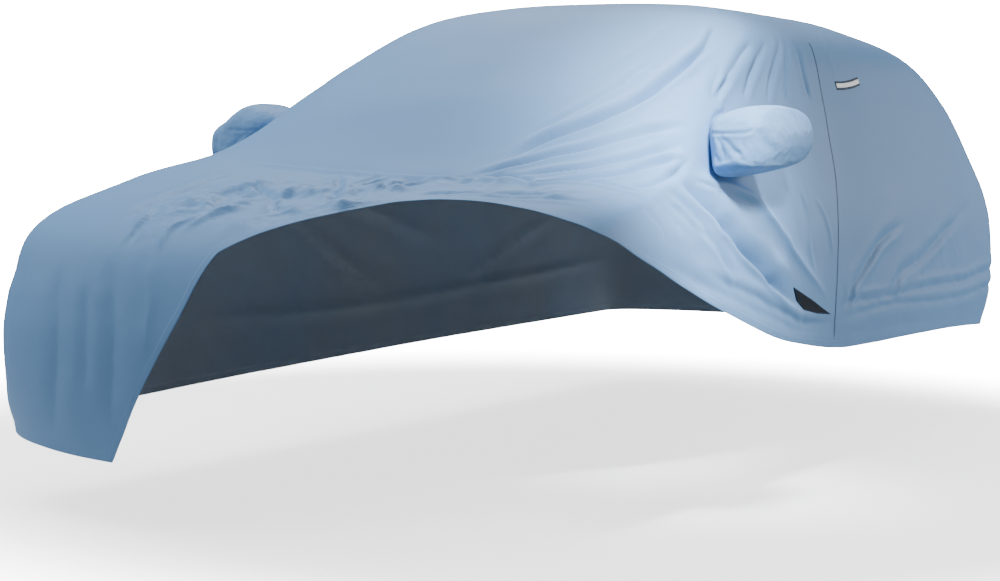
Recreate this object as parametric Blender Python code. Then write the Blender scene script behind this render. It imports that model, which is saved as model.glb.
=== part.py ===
"""Fitted outdoor cover for a small hatchback, with its front left corner drawn back.

Lengths are metres. While the cover is shaped, x runs to the car's left, y runs to its rear from
the front axle, and z runs up from the ground. ORIGIN is then made the origin: it lies against
the cloth's underside at the top of the roof, where the roof holds the cover up.
"""
import math

import bmesh
import bpy
import numpy as np
from mathutils import Vector
from mathutils.bvhtree import BVHTree

# ---- driving sizes -----------------------------------------------------------------------------
CLOTH = 0.0025                           # the coated cloth with its soft backing
CROWN = (0.0, 1.50, 1.512)               # highest point of the roof, on the cloth's outside
ORIGIN = (CROWN[0], CROWN[1], CROWN[2] - CLOTH)
SEAM_GAP = 0.0004                        # between pieces that are sewn flat on each other
POCKET_GAP = 0.002                       # between a pocket's root and the cloth that carries it

# Rings run once round the cover at one height of the drape, from the roof down to the hem. front
# and back are the y of a ring's ends on the centre line, half is its half width, front_round and
# back_round say over what length its ends curve into its sides, z_ are its heights, and
# right_lift is how much higher the cloth stands off the right front wing than off the left.
RING_COLUMNS = ("name", "front", "back", "half", "front_round", "back_round",
                "z_front", "z_side", "z_back", "right_lift")
RINGS = (
    ("roof inside",   1.21, 1.98, 0.300, 0.29, 0.48, 1.492, 1.494, 1.486, 0.000),
    ("roof outside",  1.00, 2.34, 0.530, 0.26, 0.52, 1.456, 1.449, 1.430, 0.000),
    ("roof rail",     0.90, 2.53, 0.640, 0.24, 0.40, 1.425, 1.385, 1.350, 0.000),
    ("glass middle",  0.44, 2.81, 0.745, 0.30, 0.34, 1.180, 1.180, 1.180, 0.000),
    ("glass foot",    0.03, 2.96, 0.800, 0.40, 0.28, 0.945, 0.965, 0.950, 0.035),
    ("bonnet middle", -0.36, 3.03, 0.830, 0.38, 0.26, 0.885, 0.830, 0.820, 0.050),
    ("nose edge",     -0.78, 3.07, 0.845, 0.40, 0.26, 0.770, 0.690, 0.690, 0.020),
    ("bumper",        -0.85, 3.08, 0.850, 0.44, 0.26, 0.560, 0.540, 0.540, 0.000),
    ("sill",          -0.85, 3.07, 0.845, 0.40, 0.26, 0.370, 0.450, 0.420, 0.000),
    ("hem",           -0.81, 3.02, 0.835, 0.34, 0.26, 0.185, 0.365, 0.325, 0.000),
)
BUMPER_RING = next(ring for ring in RINGS if ring[0] == "bumper")
RIGHT_LIFT_SHARE = (                     # by column, the share of right_lift that is used
    (-3.0, 0.0), (-2.0, 0.0), (-1.6, 0.0), (-1.25, 0.7), (-1.0, 1.0), (-0.7, 1.0), (-0.4, 0.5),
    (0.0, 0.0), (1.0, 0.0), (3.0, 0.0),
)
CORNER_POWER = 3.0                       # 2 is a round corner, more is squarer
CROSS_CAMBER = 2.2                       # how late a ring's end drops to its side's height

# Heights of the hem by column: 0 in front, 1 to 2 along the left side, 3 behind, and the same
# with a minus sign along the right side.
HEM_HEIGHTS = (
    (-3.0, 0.300), (-2.4, 0.290), (-2.0, 0.285), (-1.5, 0.265), (-1.0, 0.215), (-0.6, 0.190),
    (-0.3, 0.180), (0.0, 0.185), (0.6, 0.215), (1.0, 0.330), (1.3, 0.400), (1.45, 0.385),
    (1.6, 0.370), (2.0, 0.345), (2.4, 0.320), (3.0, 0.300),
)
# Where the drawn back corner's edge runs: by column, the share of the way from the roof's crown
# down to the full hem.
CUT_EDGE = (
    (-3.0, 1.0), (-0.29, 1.0), (-0.26, 0.993), (-0.13, 0.938), (0.01, 0.878), (0.07, 0.832),
    (0.13, 0.812), (0.19, 0.785), (0.23, 0.755), (0.26, 0.724), (0.33, 0.703), (0.44, 0.695),
    (0.61, 0.705), (0.80, 0.730), (0.90, 0.743), (1.00, 0.751), (1.04, 0.767), (1.10, 0.794),
    (1.15, 0.817), (1.20, 0.842), (1.29, 0.884), (1.37, 0.919), (1.46, 0.960), (1.53, 0.987),
    (1.60, 1.0), (3.0, 1.0),
)

# Folds are troughs with an optional ridge on the left of their route. Each route is read on one
# panel, in that panel's two coordinates: top is (x, y), the sides are (y, z), the ends (x, z).
PANELS = {"top": (0, 1, 2, 1), "left": (1, 2, 0, 1), "right": (1, 2, 0, -1),
          "front": (0, 2, 1, -1), "back": (0, 2, 1, 1)}
FOLD_COLUMNS = ("panel", "half_width", "depth", "ridge", "route")
FOLDS = (
    # long pulls from the foot of the windscreen to the mirror and the roof rail
    ("top", 0.030, 0.020, 0.010, ((0.31, 0.06), (0.46, 0.24), (0.58, 0.42), (0.63, 0.61),
                                  (0.62, 0.78), (0.59, 0.93))),
    ("top", 0.024, 0.012, 0.007, ((0.34, 0.08), (0.51, 0.18), (0.64, 0.31), (0.73, 0.43))),
    ("top", 0.022, 0.010, 0.005, ((0.40, 0.04), (0.62, 0.16), (0.76, 0.39))),
    ("top", 0.022, 0.009, 0.004, ((0.30, 0.03), (0.53, 0.03), (0.70, 0.10), (0.78, 0.16))),
    ("top", 0.030, -0.008, 0.0, ((0.38, 0.57), (0.43, 0.72), (0.47, 0.90))),
    # folds that fan out from the roof rail down to the left mirror pocket
    ("left", 0.024, 0.010, 0.004, ((1.03, 1.353), (0.80, 1.257), (0.62, 1.170))),
    ("left", 0.022, 0.009, 0.004, ((1.14, 1.361), (0.98, 1.270), (0.84, 1.180))),
    ("left", 0.022, 0.008, 0.003, ((1.29, 1.374), (1.12, 1.270), (1.01, 1.167))),
    ("left", 0.022, 0.008, 0.003, ((1.37, 1.369), (1.35, 1.280), (1.31, 1.180))),
    # the long pull from under the mirror to the foot of the zip, and its ridge
    ("left", 0.034, 0.030, 0.014, ((0.33, 0.93), (0.41, 0.863), (0.56, 0.775), (0.69, 0.736),
                                   (0.81, 0.662), (0.97, 0.579), (1.04, 0.524))),
    ("left", 0.030, -0.014, 0.0, ((0.40, 0.95), (0.72, 0.872), (0.93, 0.761), (1.07, 0.644),
                                  (1.33, 0.514))),
    ("left", 0.026, 0.012, 0.006, ((1.15, 0.672), (1.11, 0.786), (1.09, 0.895))),
    ("left", 0.024, 0.010, 0.004, ((0.97, 0.767), (1.02, 0.891))),
    # the band that gathers above the hem, in front of the zip and behind it
    ("left", 0.022, 0.016, 0.008, ((0.42, 0.678), (0.60, 0.633), (0.83, 0.561), (1.04, 0.503),
                                   (1.17, 0.483), (1.30, 0.476))),
    ("left", 0.024, 0.014, 0.008, ((1.40, 0.506), (1.56, 0.509), (1.77, 0.524), (2.11, 0.534),
                                   (2.49, 0.540), (2.76, 0.556))),
    ("left", 0.032, 0.014, 0.008, ((1.48, 0.540), (1.55, 0.615), (1.76, 0.710), (2.00, 0.775))),
    ("left", 0.036, 0.012, 0.006, ((1.79, 0.524), (2.04, 0.609), (2.22, 0.662), (2.54, 0.755))),
    # soft crumples on the bonnet, beside the drawn back edge
    ("top", 0.030, 0.008, 0.006, ((-0.40, -0.74), (-0.28, -0.55), (-0.30, -0.36), (-0.42, -0.16))),
    ("top", 0.026, 0.007, 0.006, ((-0.12, -0.76), (-0.10, -0.58), (-0.18, -0.42))),
    ("top", 0.026, 0.008, 0.005, ((-0.04, -0.52), (0.00, -0.36), (-0.08, -0.22))),
    ("top", 0.022, 0.008, 0.005, ((0.16, -0.42), (0.05, -0.25), (-0.09, -0.09))),
    ("top", 0.026, 0.006, 0.005, ((0.30, -0.22), (0.48, -0.16), (0.66, -0.05))),
    # soft upright folds in front, and the cloth that hangs plainly behind and on the right
    ("front", 0.045, 0.008, 0.004, ((-0.36, 0.20), (-0.33, 0.45), (-0.30, 0.68))),
    ("front", 0.045, 0.009, 0.004, ((-0.54, 0.21), (-0.53, 0.42), (-0.47, 0.66))),
    ("back", 0.050, 0.010, 0.005, ((0.42, 0.34), (0.36, 0.62), (0.24, 0.90))),
    ("back", 0.050, 0.010, 0.005, ((-0.40, 0.32), (-0.30, 0.60), (-0.26, 0.86))),
    ("right", 0.036, 0.018, 0.010, ((0.36, 0.93), (0.62, 0.78), (0.90, 0.62), (1.20, 0.47))),
    ("right", 0.034, 0.012, 0.006, ((0.50, 0.93), (1.00, 0.80), (1.60, 0.62))),
    ("right", 0.028, 0.012, 0.007, ((0.20, 0.42), (0.90, 0.41), (1.60, 0.43), (2.30, 0.45))),
    ("right", 0.026, 0.009, 0.004, ((1.10, 1.350), (0.86, 1.250), (0.66, 1.170))),
    ("right", 0.036, 0.012, 0.006, ((1.70, 0.47), (2.05, 0.60), (2.45, 0.74))),
)
ROUTE_STEPS = 20                         # straight steps in a fold's route
FOLD_FADE = 0.22                         # share of a route over which the fold fades at each end

FINE_COLUMNS, FINE_ROWS = 420, 110       # the fine drape that the facets are taken from
SHEET_TRIANGLES = 4300                   # of the facetted drape, one side

# ---- trims, all on the left side, in (y, z) ----------------------------------------------------
ZIP_ROUTE = ((1.515, 1.372), (1.470, 1.300), (1.440, 1.200), (1.420, 1.080), (1.415, 0.950),
             (1.385, 0.820), (1.360, 0.660), (1.345, 0.520), (1.360, 0.415))
ZIP_SLIT, ZIP_CHAIN, ZIP_TAPE_WIDTH = 0.0046, 0.0036, 0.030
ZIP_TAPE_THICK, ZIP_CHAIN_PROUD = 0.0010, 0.0006
STRIP_START, STRIP_END = (1.580, 1.232), (1.790, 1.252)
STRIP_WIDTH, REFLECTOR_WIDTH, STRIP_THICK, REFLECTOR_THICK = 0.028, 0.019, 0.0010, 0.0006
GUSSET = ((1.005, 0.600), (1.035, 0.555), (1.085, 0.524), (1.190, 0.505), (1.305, 0.494),
          (1.160, 0.548))
GUSSET_THICK = 0.0010

# ---- mirror pockets ----------------------------------------------------------------------------
POCKET_COLUMNS = ("reach", "y_front", "y_back", "z_low", "z_high")
POCKET_SECTIONS = (
    (0.00, 0.500, 0.760, 1.000, 1.115),
    (0.12, 0.485, 0.780, 0.988, 1.130),
    (0.35, 0.470, 0.810, 0.975, 1.146),
    (0.62, 0.475, 0.845, 0.972, 1.152),
    (0.84, 0.500, 0.862, 0.980, 1.146),
    (0.96, 0.545, 0.852, 1.000, 1.128),
    (1.00, 0.610, 0.820, 1.030, 1.100),
)
# Each pocket: its side, how far out it reaches, and how its sections are shifted.
POCKETS = {
    "mirror_pocket_left": {"side": 1, "tip": 0.975, "y_shift": 0.0, "z_shift": 0.0},
    "mirror_pocket_right": {"side": -1, "tip": 1.000, "y_shift": -0.08, "z_shift": -0.015},
}
POCKET_SIDES = 28
POCKET_SQUARENESS = 3.2
POCKET_MOUTH_INSET = 0.022               # the hole in the body is this much inside the root

# ---- finishes ----------------------------------------------------------------------------------
FINISHES = {                             # colour, roughness
    "coated cloth": ((0.27, 0.42, 0.57), 0.42),
    "dark coated cloth": ((0.016, 0.027, 0.042), 0.55),
    "zip tape": ((0.045, 0.075, 0.115), 0.75),
    "zip chain": ((0.05, 0.08, 0.12), 0.40),
    "navy webbing": ((0.008, 0.020, 0.048), 0.70),
    "reflector": ((0.82, 0.86, 0.90), 0.28),
}


def quarter_turn(across, along, shares):
    """Points of a quarter superellipse from (0, 0) to (across, along), even along its length."""
    angle = np.linspace(0.0, math.pi / 2, 241)
    x = across * np.sin(angle) ** (2 / CORNER_POWER)
    y = along * (1 - np.cos(angle) ** (2 / CORNER_POWER))
    length = np.concatenate(([0.0], np.cumsum(np.hypot(np.diff(x), np.diff(y)))))
    at = shares * length[-1]
    return np.interp(at, length, x), np.interp(at, length, y)


def ring_points(ring, columns):
    """Points of one ring, one for each column."""
    r = dict(zip(RING_COLUMNS, ring))
    reach = np.abs(columns)
    front, side, back = np.clip(reach, 0, 1), np.clip(reach - 1, 0, 1), np.clip(3 - reach, 0, 1)
    x_front, y_front = quarter_turn(r["half"], r["front_round"], front)
    x_back, y_back = quarter_turn(r["half"], r["back_round"], back)
    side_start, side_end = r["front"] + r["front_round"], r["back"] - r["back_round"]
    zones = [reach < 1, reach > 2]
    x = np.select(zones, [x_front, x_back], r["half"])
    y = np.select(zones, [r["front"] + y_front, r["back"] - y_back],
                  side_start + side * (side_end - side_start))
    z = np.select(zones, [r["z_side"] + (r["z_front"] - r["z_side"]) * (1 - front**CROSS_CAMBER),
                          r["z_side"] + (r["z_back"] - r["z_side"]) * (1 - back**CROSS_CAMBER)],
                  r["z_side"])
    z = z + r["right_lift"] * smooth_curve(*np.array(RIGHT_LIFT_SHARE).T, columns)
    return np.stack([np.sign(columns) * x, y, z], -1)


def way_round(columns):
    """Metres round the cover at its bumpers from the middle of its front to each column."""
    knots = np.linspace(0, 3, 61)
    steps = np.linalg.norm(np.diff(ring_points(BUMPER_RING, knots), axis=0), axis=-1)
    return np.sign(columns) * np.interp(np.abs(columns), knots, np.append(0, np.cumsum(steps)))


def edge_curve(table, columns):
    """Value at each column of the smooth curve round the cover through a table's rows."""
    knots, values = np.array(table).T
    return smooth_curve(way_round(knots), values, way_round(columns))


def cubic_parts(knots, at):
    """Which span of knots each value of at lies in, and the weights of a cubic through it."""
    span = np.clip(np.searchsorted(knots, at, side="right") - 1, 0, len(knots) - 2)
    gap = knots[span + 1] - knots[span]
    f = (at - knots[span]) / gap
    weights = (2 * f**3 - 3 * f**2 + 1, (f**3 - 2 * f**2 + f) * gap,
               3 * f**2 - 2 * f**3, (f**3 - f**2) * gap)
    return span, weights


def smooth_curve(knots, values, at):
    """Value at each place of at of the smooth curve through values at knots."""
    slopes = np.gradient(values, knots, axis=0)
    span, (a, b, c, d) = cubic_parts(knots, at)
    if values.ndim > 1:
        a, b, c, d = (weight[..., None] for weight in (a, b, c, d))
    return a * values[span] + b * slopes[span] + c * values[span + 1] + d * slopes[span + 1]


def taut_drape(columns, falls):
    """Points of the cover without folds. falls (rows by columns) run from 0, crown, to 1, hem."""
    rings = np.stack([np.broadcast_to(CROWN, (len(columns), 3))]
                     + [ring_points(ring, columns) for ring in RINGS])
    rings[-1, :, 2] = edge_curve(HEM_HEIGHTS, columns)
    steps = np.linalg.norm(np.diff(rings, axis=0), axis=-1).mean(axis=1)
    knots = np.concatenate(([0.0], np.cumsum(steps))) / steps.sum()
    slopes = np.gradient(rings, knots, axis=0)
    span, weights = cubic_parts(knots, falls)
    a, b, c, d = (weight[..., None] for weight in weights)
    column = np.arange(len(columns))[None, :]
    return (a * rings[span, column] + b * slopes[span, column]
            + c * rings[span + 1, column] + d * slopes[span + 1, column])


def outward(points):
    """Unit normals of a grid that wraps round in its columns, pointing out of the cover."""
    across = np.roll(points, -1, axis=1) - np.roll(points, 1, axis=1)
    down = np.gradient(points, axis=0)
    normals = np.cross(down, across)
    normals[0] = (0, 0, 1)
    return normals / np.linalg.norm(normals, axis=-1, keepdims=True)


def fold_offset(points, normals, fold):
    """How far one fold moves each point along its normal."""
    f = dict(zip(FOLD_COLUMNS, fold))
    first, second, facing, side = PANELS[f["panel"]]
    route = np.array(f["route"])
    steps = np.linspace(0, len(route) - 1, ROUTE_STEPS + 1)
    route = smooth_curve(np.arange(float(len(route))), route, steps)
    at = points[..., (first, second)]
    nearest = np.full(at.shape[:-1], np.inf)
    signed, share = np.zeros_like(nearest), np.zeros_like(nearest)
    for step, (start, end) in enumerate(zip(route[:-1], route[1:])):
        along = end - start
        along_share = np.clip(((at - start) @ along) / (along @ along), 0, 1)
        gap = at - start - along_share[..., None] * along
        distance = np.hypot(gap[..., 0], gap[..., 1])
        left = np.sign(along[0] * gap[..., 1] - along[1] * gap[..., 0])
        closer = distance < nearest
        nearest = np.where(closer, distance, nearest)
        signed = np.where(closer, distance * left, signed)
        share = np.where(closer, (step + along_share) / ROUTE_STEPS, share)
    fade = np.clip(np.minimum(share, 1 - share) / FOLD_FADE, 0, 1)
    fade = fade * fade * (3 - 2 * fade)
    seen = np.clip(side * normals[..., facing] / 0.3, 0, 1)
    trough = np.exp(-(nearest / f["half_width"]) ** 2)
    ridge = np.exp(-((signed - 1.8 * f["half_width"]) / f["half_width"]) ** 2)
    return fade * seen * (f["ridge"] * ridge - f["depth"] * trough)


def draped_grid(columns, rows):
    """Points of the folded drape in the part's own frame, rows by columns."""
    lowest = np.minimum(edge_curve(CUT_EDGE, columns), 1.0)
    falls = np.linspace(0, 1, rows)[:, None] * lowest[None, :]
    points = taut_drape(columns, falls)
    normals = outward(points)
    offset = sum(fold_offset(points, normals, fold) for fold in FOLDS)
    points = points + normals * offset[..., None]
    points[0] = CROWN
    return points - ORIGIN


def grid_faces(rows, columns):
    """Faces of a grid whose first row is one point and whose columns wrap round."""
    column = np.arange(columns)
    beside = (column + 1) % columns
    fan = [(0, int(1 + c), int(1 + b)) for c, b in zip(column, beside)]
    starts = 1 + np.arange(rows - 2)[:, None] * columns
    quads = np.stack([starts + column, starts + columns + column,
                      starts + columns + beside, starts + beside], -1)
    return fan + quads.reshape(-1, 4).tolist()


def new_object(name, points, faces, finish=None):
    mesh = bpy.data.meshes.new(name)
    mesh.from_pydata(points, [], faces)
    mesh.validate()
    thing = bpy.data.objects.new(name, mesh)
    bpy.context.scene.collection.objects.link(thing)
    if finish:
        mesh.materials.append(finish)
    return thing


def finish_of(name):
    colour, roughness = FINISHES[name]
    material = bpy.data.materials.new(name)
    material.use_nodes = True
    shader = material.node_tree.nodes["Principled BSDF"]
    shader.inputs["Base Color"].default_value = (*colour, 1)
    shader.inputs["Roughness"].default_value = roughness
    return material


def facetted_drape():
    """The drape as one open sheet with few facets, close together only where it folds."""
    columns = np.linspace(-3, 3, FINE_COLUMNS, endpoint=False)
    points = draped_grid(columns, FINE_ROWS)
    points = np.concatenate([points[:1, 0], points[1:].reshape(-1, 3)])
    fine = new_object("fine drape", points.tolist(), grid_faces(FINE_ROWS, FINE_COLUMNS))
    fine_triangles = FINE_COLUMNS + 2 * FINE_COLUMNS * (FINE_ROWS - 2)
    fewer = fine.modifiers.new("fewer facets", "DECIMATE")
    fewer.ratio = SHEET_TRIANGLES / fine_triangles
    fewer.use_collapse_triangulate = True
    graph = bpy.context.evaluated_depsgraph_get()
    sheet = bpy.data.meshes.new_from_object(fine.evaluated_get(graph))
    bpy.data.objects.remove(fine)
    return sheet


def cloth_layer(name, sheet, finish, low, high):
    """A solid that follows the sheet, from low to high above it."""
    mesh = sheet.copy()
    mesh.materials.clear()
    mesh.materials.append(finish)
    thing = bpy.data.objects.new(name, mesh)
    bpy.context.scene.collection.objects.link(thing)
    wall = thing.modifiers.new("cloth", "SOLIDIFY")
    wall.thickness = high - low
    wall.offset = 2 * low / (high - low) + 1
    return thing


def side_prism(name, outline, x_low, x_high):
    """A cutter that runs across the car, with an outline in (y, z)."""
    low = [(x_low - ORIGIN[0], y - ORIGIN[1], z - ORIGIN[2]) for y, z in outline]
    high = [(x_high - ORIGIN[0], y, z) for _, y, z in low]
    count = len(outline)
    sides = [(i, (i + 1) % count, count + (i + 1) % count, count + i) for i in range(count)]
    ends = [tuple(range(count))[::-1], tuple(range(count, 2 * count))]
    cutter = new_object(name, low + high, sides + ends)
    shape = bmesh.new()
    shape.from_mesh(cutter.data)
    bmesh.ops.recalc_face_normals(shape, faces=shape.faces)
    shape.to_mesh(cutter.data)
    shape.free()
    cutter.hide_render = True
    cutter.display_type = "WIRE"
    return cutter


def ribbon(route, width, steps):
    """Outline of a ribbon of one width along a smooth route in (y, z)."""
    route = np.array(route)
    at = np.linspace(0, len(route) - 1, steps + 1)
    line = smooth_curve(np.arange(float(len(route))), route, at)
    along = np.gradient(line, axis=0)
    across = np.stack([-along[:, 1], along[:, 0]], -1)
    across *= width / 2 / np.linalg.norm(across, axis=-1, keepdims=True)
    return np.concatenate([line + across, (line - across)[::-1]]).tolist()


def boolean(thing, cutter, operation):
    cut = thing.modifiers.new(cutter.name, "BOOLEAN")
    cut.operation = operation
    cut.object = cutter
    cut.solver = "EXACT"


def shortened(route, amount):
    """The route with its two ends drawn in by amount."""
    route = [Vector(point) for point in route]
    route[0] += (route[1] - route[0]).normalized() * amount
    route[-1] += (route[-2] - route[-1]).normalized() * amount
    return [tuple(point) for point in route]


def add_zip(body, sheet, finishes):
    """A closed zip in a slit of the body: its chain fills the slit, its tape lies behind it."""
    boolean(body, side_prism("slit", ribbon(ZIP_ROUTE, ZIP_SLIT, 24), 0.5, 1.0), "DIFFERENCE")
    behind = -CLOTH - SEAM_GAP
    tape = cloth_layer("zip_tape", sheet, finishes["zip tape"], behind - ZIP_TAPE_THICK, behind)
    boolean(tape, side_prism("tape outline", ribbon(ZIP_ROUTE, ZIP_TAPE_WIDTH, 12), 0.5, 1.0),
            "INTERSECT")
    chain = cloth_layer("zip_chain", sheet, finishes["zip chain"], -CLOTH, ZIP_CHAIN_PROUD)
    boolean(chain, side_prism("chain outline",
                              ribbon(shortened(ZIP_ROUTE, SEAM_GAP + 0.001), ZIP_CHAIN, 24),
                              0.5, 1.0), "INTERSECT")


def add_strip(sheet, finishes):
    """A reflective strip: webbing sewn to the cloth, and the reflector on it."""
    route = (STRIP_START, STRIP_END)
    low = SEAM_GAP
    webbing = cloth_layer("strip_webbing", sheet, finishes["navy webbing"], low, low + STRIP_THICK)
    boolean(webbing, side_prism("webbing outline", ribbon(route, STRIP_WIDTH, 4), 0.5, 1.0),
            "INTERSECT")
    low += STRIP_THICK + SEAM_GAP
    band = cloth_layer("strip_reflector", sheet, finishes["reflector"], low, low + REFLECTOR_THICK)
    boolean(band, side_prism("reflector outline",
                             ribbon(shortened(route, 0.002), REFLECTOR_WIDTH, 4), 0.5, 1.0),
            "INTERSECT")


def add_gusset(sheet, finishes):
    """A dark three-cornered gusset sewn over the mouth of the fold at the foot of the zip."""
    gusset = cloth_layer("gusset", sheet, finishes["dark coated cloth"],
                         SEAM_GAP, SEAM_GAP + GUSSET_THICK)
    boolean(gusset, side_prism("gusset outline", GUSSET, 0.5, 1.0), "INTERSECT")


def pocket_outline(y_front, y_back, z_low, z_high, sides):
    """A squarish oval in (y, z)."""
    angle = np.linspace(0, 2 * math.pi, sides, endpoint=False)
    power = 2 / POCKET_SQUARENESS
    y = np.sign(np.cos(angle)) * np.abs(np.cos(angle)) ** power * (y_back - y_front) / 2
    z = np.sign(np.sin(angle)) * np.abs(np.sin(angle)) ** power * (z_high - z_low) / 2
    return np.stack([(y_front + y_back) / 2 + y, (z_low + z_high) / 2 + z], -1)


def add_pocket(body, sheet, name, finish):
    """A mirror pocket: a hollow shell sewn round its root to the body, over a hole in it."""
    pocket = POCKETS[name]
    side, shift = pocket["side"], np.array([pocket["y_shift"], pocket["z_shift"]])
    root = dict(zip(POCKET_COLUMNS, POCKET_SECTIONS[0]))
    inset = POCKET_MOUTH_INSET
    mouth = shift + pocket_outline(root["y_front"] + inset, root["y_back"] - inset,
                                   root["z_low"] + inset, root["z_high"] - inset, POCKET_SIDES)
    boolean(body, side_prism(name + " mouth", mouth.tolist(), side * 0.5, side * 1.0), "DIFFERENCE")
    tree = BVHTree.FromPolygons([v.co for v in sheet.vertices],
                                [tuple(p.vertices) for p in sheet.polygons])
    tip_x = side * pocket["tip"] - ORIGIN[0]
    points = []
    for section in POCKET_SECTIONS:
        for y, z in shift + pocket_outline(*section[1:], POCKET_SIDES) - ORIGIN[1:]:
            hit = tree.ray_cast(Vector((side * 1.2, y, z)), Vector((-side, 0, 0)))[0]
            start = hit.x + side * POCKET_GAP
            points.append((start + section[0] * (tip_x - start), y, z))
    last = points[-POCKET_SIDES:]
    points.append(tuple(sum(p[axis] for p in last) / POCKET_SIDES for axis in range(3)))
    faces = []
    for ring in range(len(POCKET_SECTIONS) - 1):
        low, high = ring * POCKET_SIDES, (ring + 1) * POCKET_SIDES
        for i in range(POCKET_SIDES):
            j = (i + 1) % POCKET_SIDES
            faces.append((low + i, low + j, high + j, high + i))
    low, tip = (len(POCKET_SECTIONS) - 1) * POCKET_SIDES, len(points) - 1
    faces += [(low + i, low + (i + 1) % POCKET_SIDES, tip) for i in range(POCKET_SIDES)]
    if side < 0:
        faces = [face[::-1] for face in faces]
    shell = new_object(name, points, faces, finish)
    wall = shell.modifiers.new("cloth", "SOLIDIFY")
    wall.thickness = CLOTH
    wall.offset = -1
    shell.data.shade_smooth()


def build():
    for thing in list(bpy.data.objects):
        bpy.data.objects.remove(thing)
    finishes = {name: finish_of(name) for name in FINISHES}
    sheet = facetted_drape()
    body = cloth_layer("cover_body", sheet, finishes["coated cloth"], -CLOTH, 0.0)
    for name in POCKETS:
        add_pocket(body, sheet, name, finishes["coated cloth"])
    add_zip(body, sheet, finishes)
    add_strip(sheet, finishes)
    add_gusset(sheet, finishes)


build()
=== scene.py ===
"""Looks of a fitted hatchback cover: its draped cloth, mirror pockets, zip, strip and a patch of
painted shade.

The shaping functions work in metres: x to the cover's left, y to its rear from 0.85 m behind its
front, z up from the ground. ORIGIN is the part's origin in that frame. A place on the cloth is a
column (0 in front, 1 to 2 along the left side, 3 behind, negative on the right) and a fall (0 at
the roof's crown, 1 at the full hem).
"""
import math

import bpy
import numpy as np
from mathutils import Matrix


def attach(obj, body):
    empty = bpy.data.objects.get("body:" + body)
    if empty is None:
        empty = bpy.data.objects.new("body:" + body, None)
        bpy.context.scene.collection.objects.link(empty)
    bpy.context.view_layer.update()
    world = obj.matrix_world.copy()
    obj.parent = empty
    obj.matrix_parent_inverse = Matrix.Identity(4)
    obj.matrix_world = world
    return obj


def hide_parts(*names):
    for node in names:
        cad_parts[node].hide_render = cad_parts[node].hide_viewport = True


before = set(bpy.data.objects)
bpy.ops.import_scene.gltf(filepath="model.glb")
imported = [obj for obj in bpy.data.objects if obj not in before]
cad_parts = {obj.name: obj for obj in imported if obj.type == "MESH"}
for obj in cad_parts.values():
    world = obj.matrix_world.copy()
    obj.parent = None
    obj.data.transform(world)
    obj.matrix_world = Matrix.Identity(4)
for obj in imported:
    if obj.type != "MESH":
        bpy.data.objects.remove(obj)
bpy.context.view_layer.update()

bl_info = {
    "name": "Fitted hatchback cover",
    "version": (1, 0, 0),
    "blender": (4, 5, 0),
    "location": "3D View > Sidebar > Cover",
    "description": "Makes the cloth and trims of a fitted car cover around its packed frame",
    "category": "Object",
}

# ---- the drape, as the part's source has it ----------------------------------------------------
CLOTH = 0.0025                           # wall of the part's solids
CROWN = np.array((0.0, 1.50, 1.512))
ORIGIN = CROWN - (0, 0, CLOTH)
RING_COLUMNS = ("name", "front", "back", "half", "front_round", "back_round",
                "z_front", "z_side", "z_back", "right_lift")
RINGS = (
    ("roof inside",   1.21, 1.98, 0.300, 0.20, 0.36, 1.492, 1.494, 1.486, 0.000),
    ("roof outside",  1.00, 2.34, 0.530, 0.26, 0.52, 1.456, 1.449, 1.430, 0.000),
    ("roof rail",     0.90, 2.53, 0.640, 0.24, 0.40, 1.425, 1.385, 1.350, 0.000),
    ("glass middle",  0.44, 2.81, 0.745, 0.30, 0.34, 1.180, 1.180, 1.180, 0.000),
    ("glass foot",    0.03, 2.96, 0.800, 0.40, 0.28, 0.945, 0.965, 0.950, 0.035),
    ("bonnet middle", -0.36, 3.03, 0.830, 0.38, 0.26, 0.885, 0.830, 0.820, 0.050),
    ("nose edge",     -0.78, 3.07, 0.845, 0.40, 0.26, 0.770, 0.690, 0.690, 0.020),
    ("bumper",        -0.85, 3.08, 0.850, 0.44, 0.26, 0.560, 0.540, 0.540, 0.000),
    ("sill",          -0.85, 3.07, 0.845, 0.40, 0.26, 0.370, 0.450, 0.420, 0.000),
    ("hem",           -0.81, 3.02, 0.835, 0.34, 0.26, 0.185, 0.365, 0.325, 0.000),
)
WIDEST_RING = next(ring for ring in RINGS if ring[0] == "bumper")
RIGHT_LIFT_SHARE = (
    (-3.0, 0.0), (-2.0, 0.0), (-1.6, 0.0), (-1.25, 0.7), (-1.0, 1.0), (-0.7, 1.0), (-0.4, 0.5),
    (0.0, 0.0), (1.0, 0.0), (3.0, 0.0),
)
CORNER_POWER = 3.0
CROSS_CAMBER = 2.2
HEM_HEIGHTS = (
    (-3.0, 0.300), (-2.4, 0.290), (-2.0, 0.285), (-1.5, 0.265), (-1.0, 0.215), (-0.6, 0.190),
    (-0.3, 0.180), (0.0, 0.185), (0.6, 0.215), (1.0, 0.330), (1.3, 0.400), (1.45, 0.385),
    (1.6, 0.370), (2.0, 0.345), (2.4, 0.320), (3.0, 0.300),
)
# The edge's fall by column, in runs that are each smooth and meet at corners.
CUT_EDGE = (
    ((-3.0, 1.0), (-0.27, 1.0)),
    ((-0.27, 1.0), (-0.20, 0.970), (-0.13, 0.938), (0.01, 0.874), (0.068, 0.832)),
    ((0.068, 0.832), (0.13, 0.812), (0.19, 0.785), (0.23, 0.755), (0.26, 0.727), (0.33, 0.703),
     (0.44, 0.695), (0.61, 0.705), (0.80, 0.730), (0.90, 0.743), (1.00, 0.751), (1.04, 0.767),
     (1.10, 0.794), (1.15, 0.817), (1.20, 0.842), (1.29, 0.884), (1.37, 0.919), (1.46, 0.960),
     (1.53, 0.987), (1.60, 1.0), (1.70, 1.0)),
    ((1.70, 1.0), (3.0, 1.0)),
)
KNOT_COLUMNS = np.linspace(-3, 3, 420, endpoint=False)   # the columns that the falls are paced by

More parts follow.
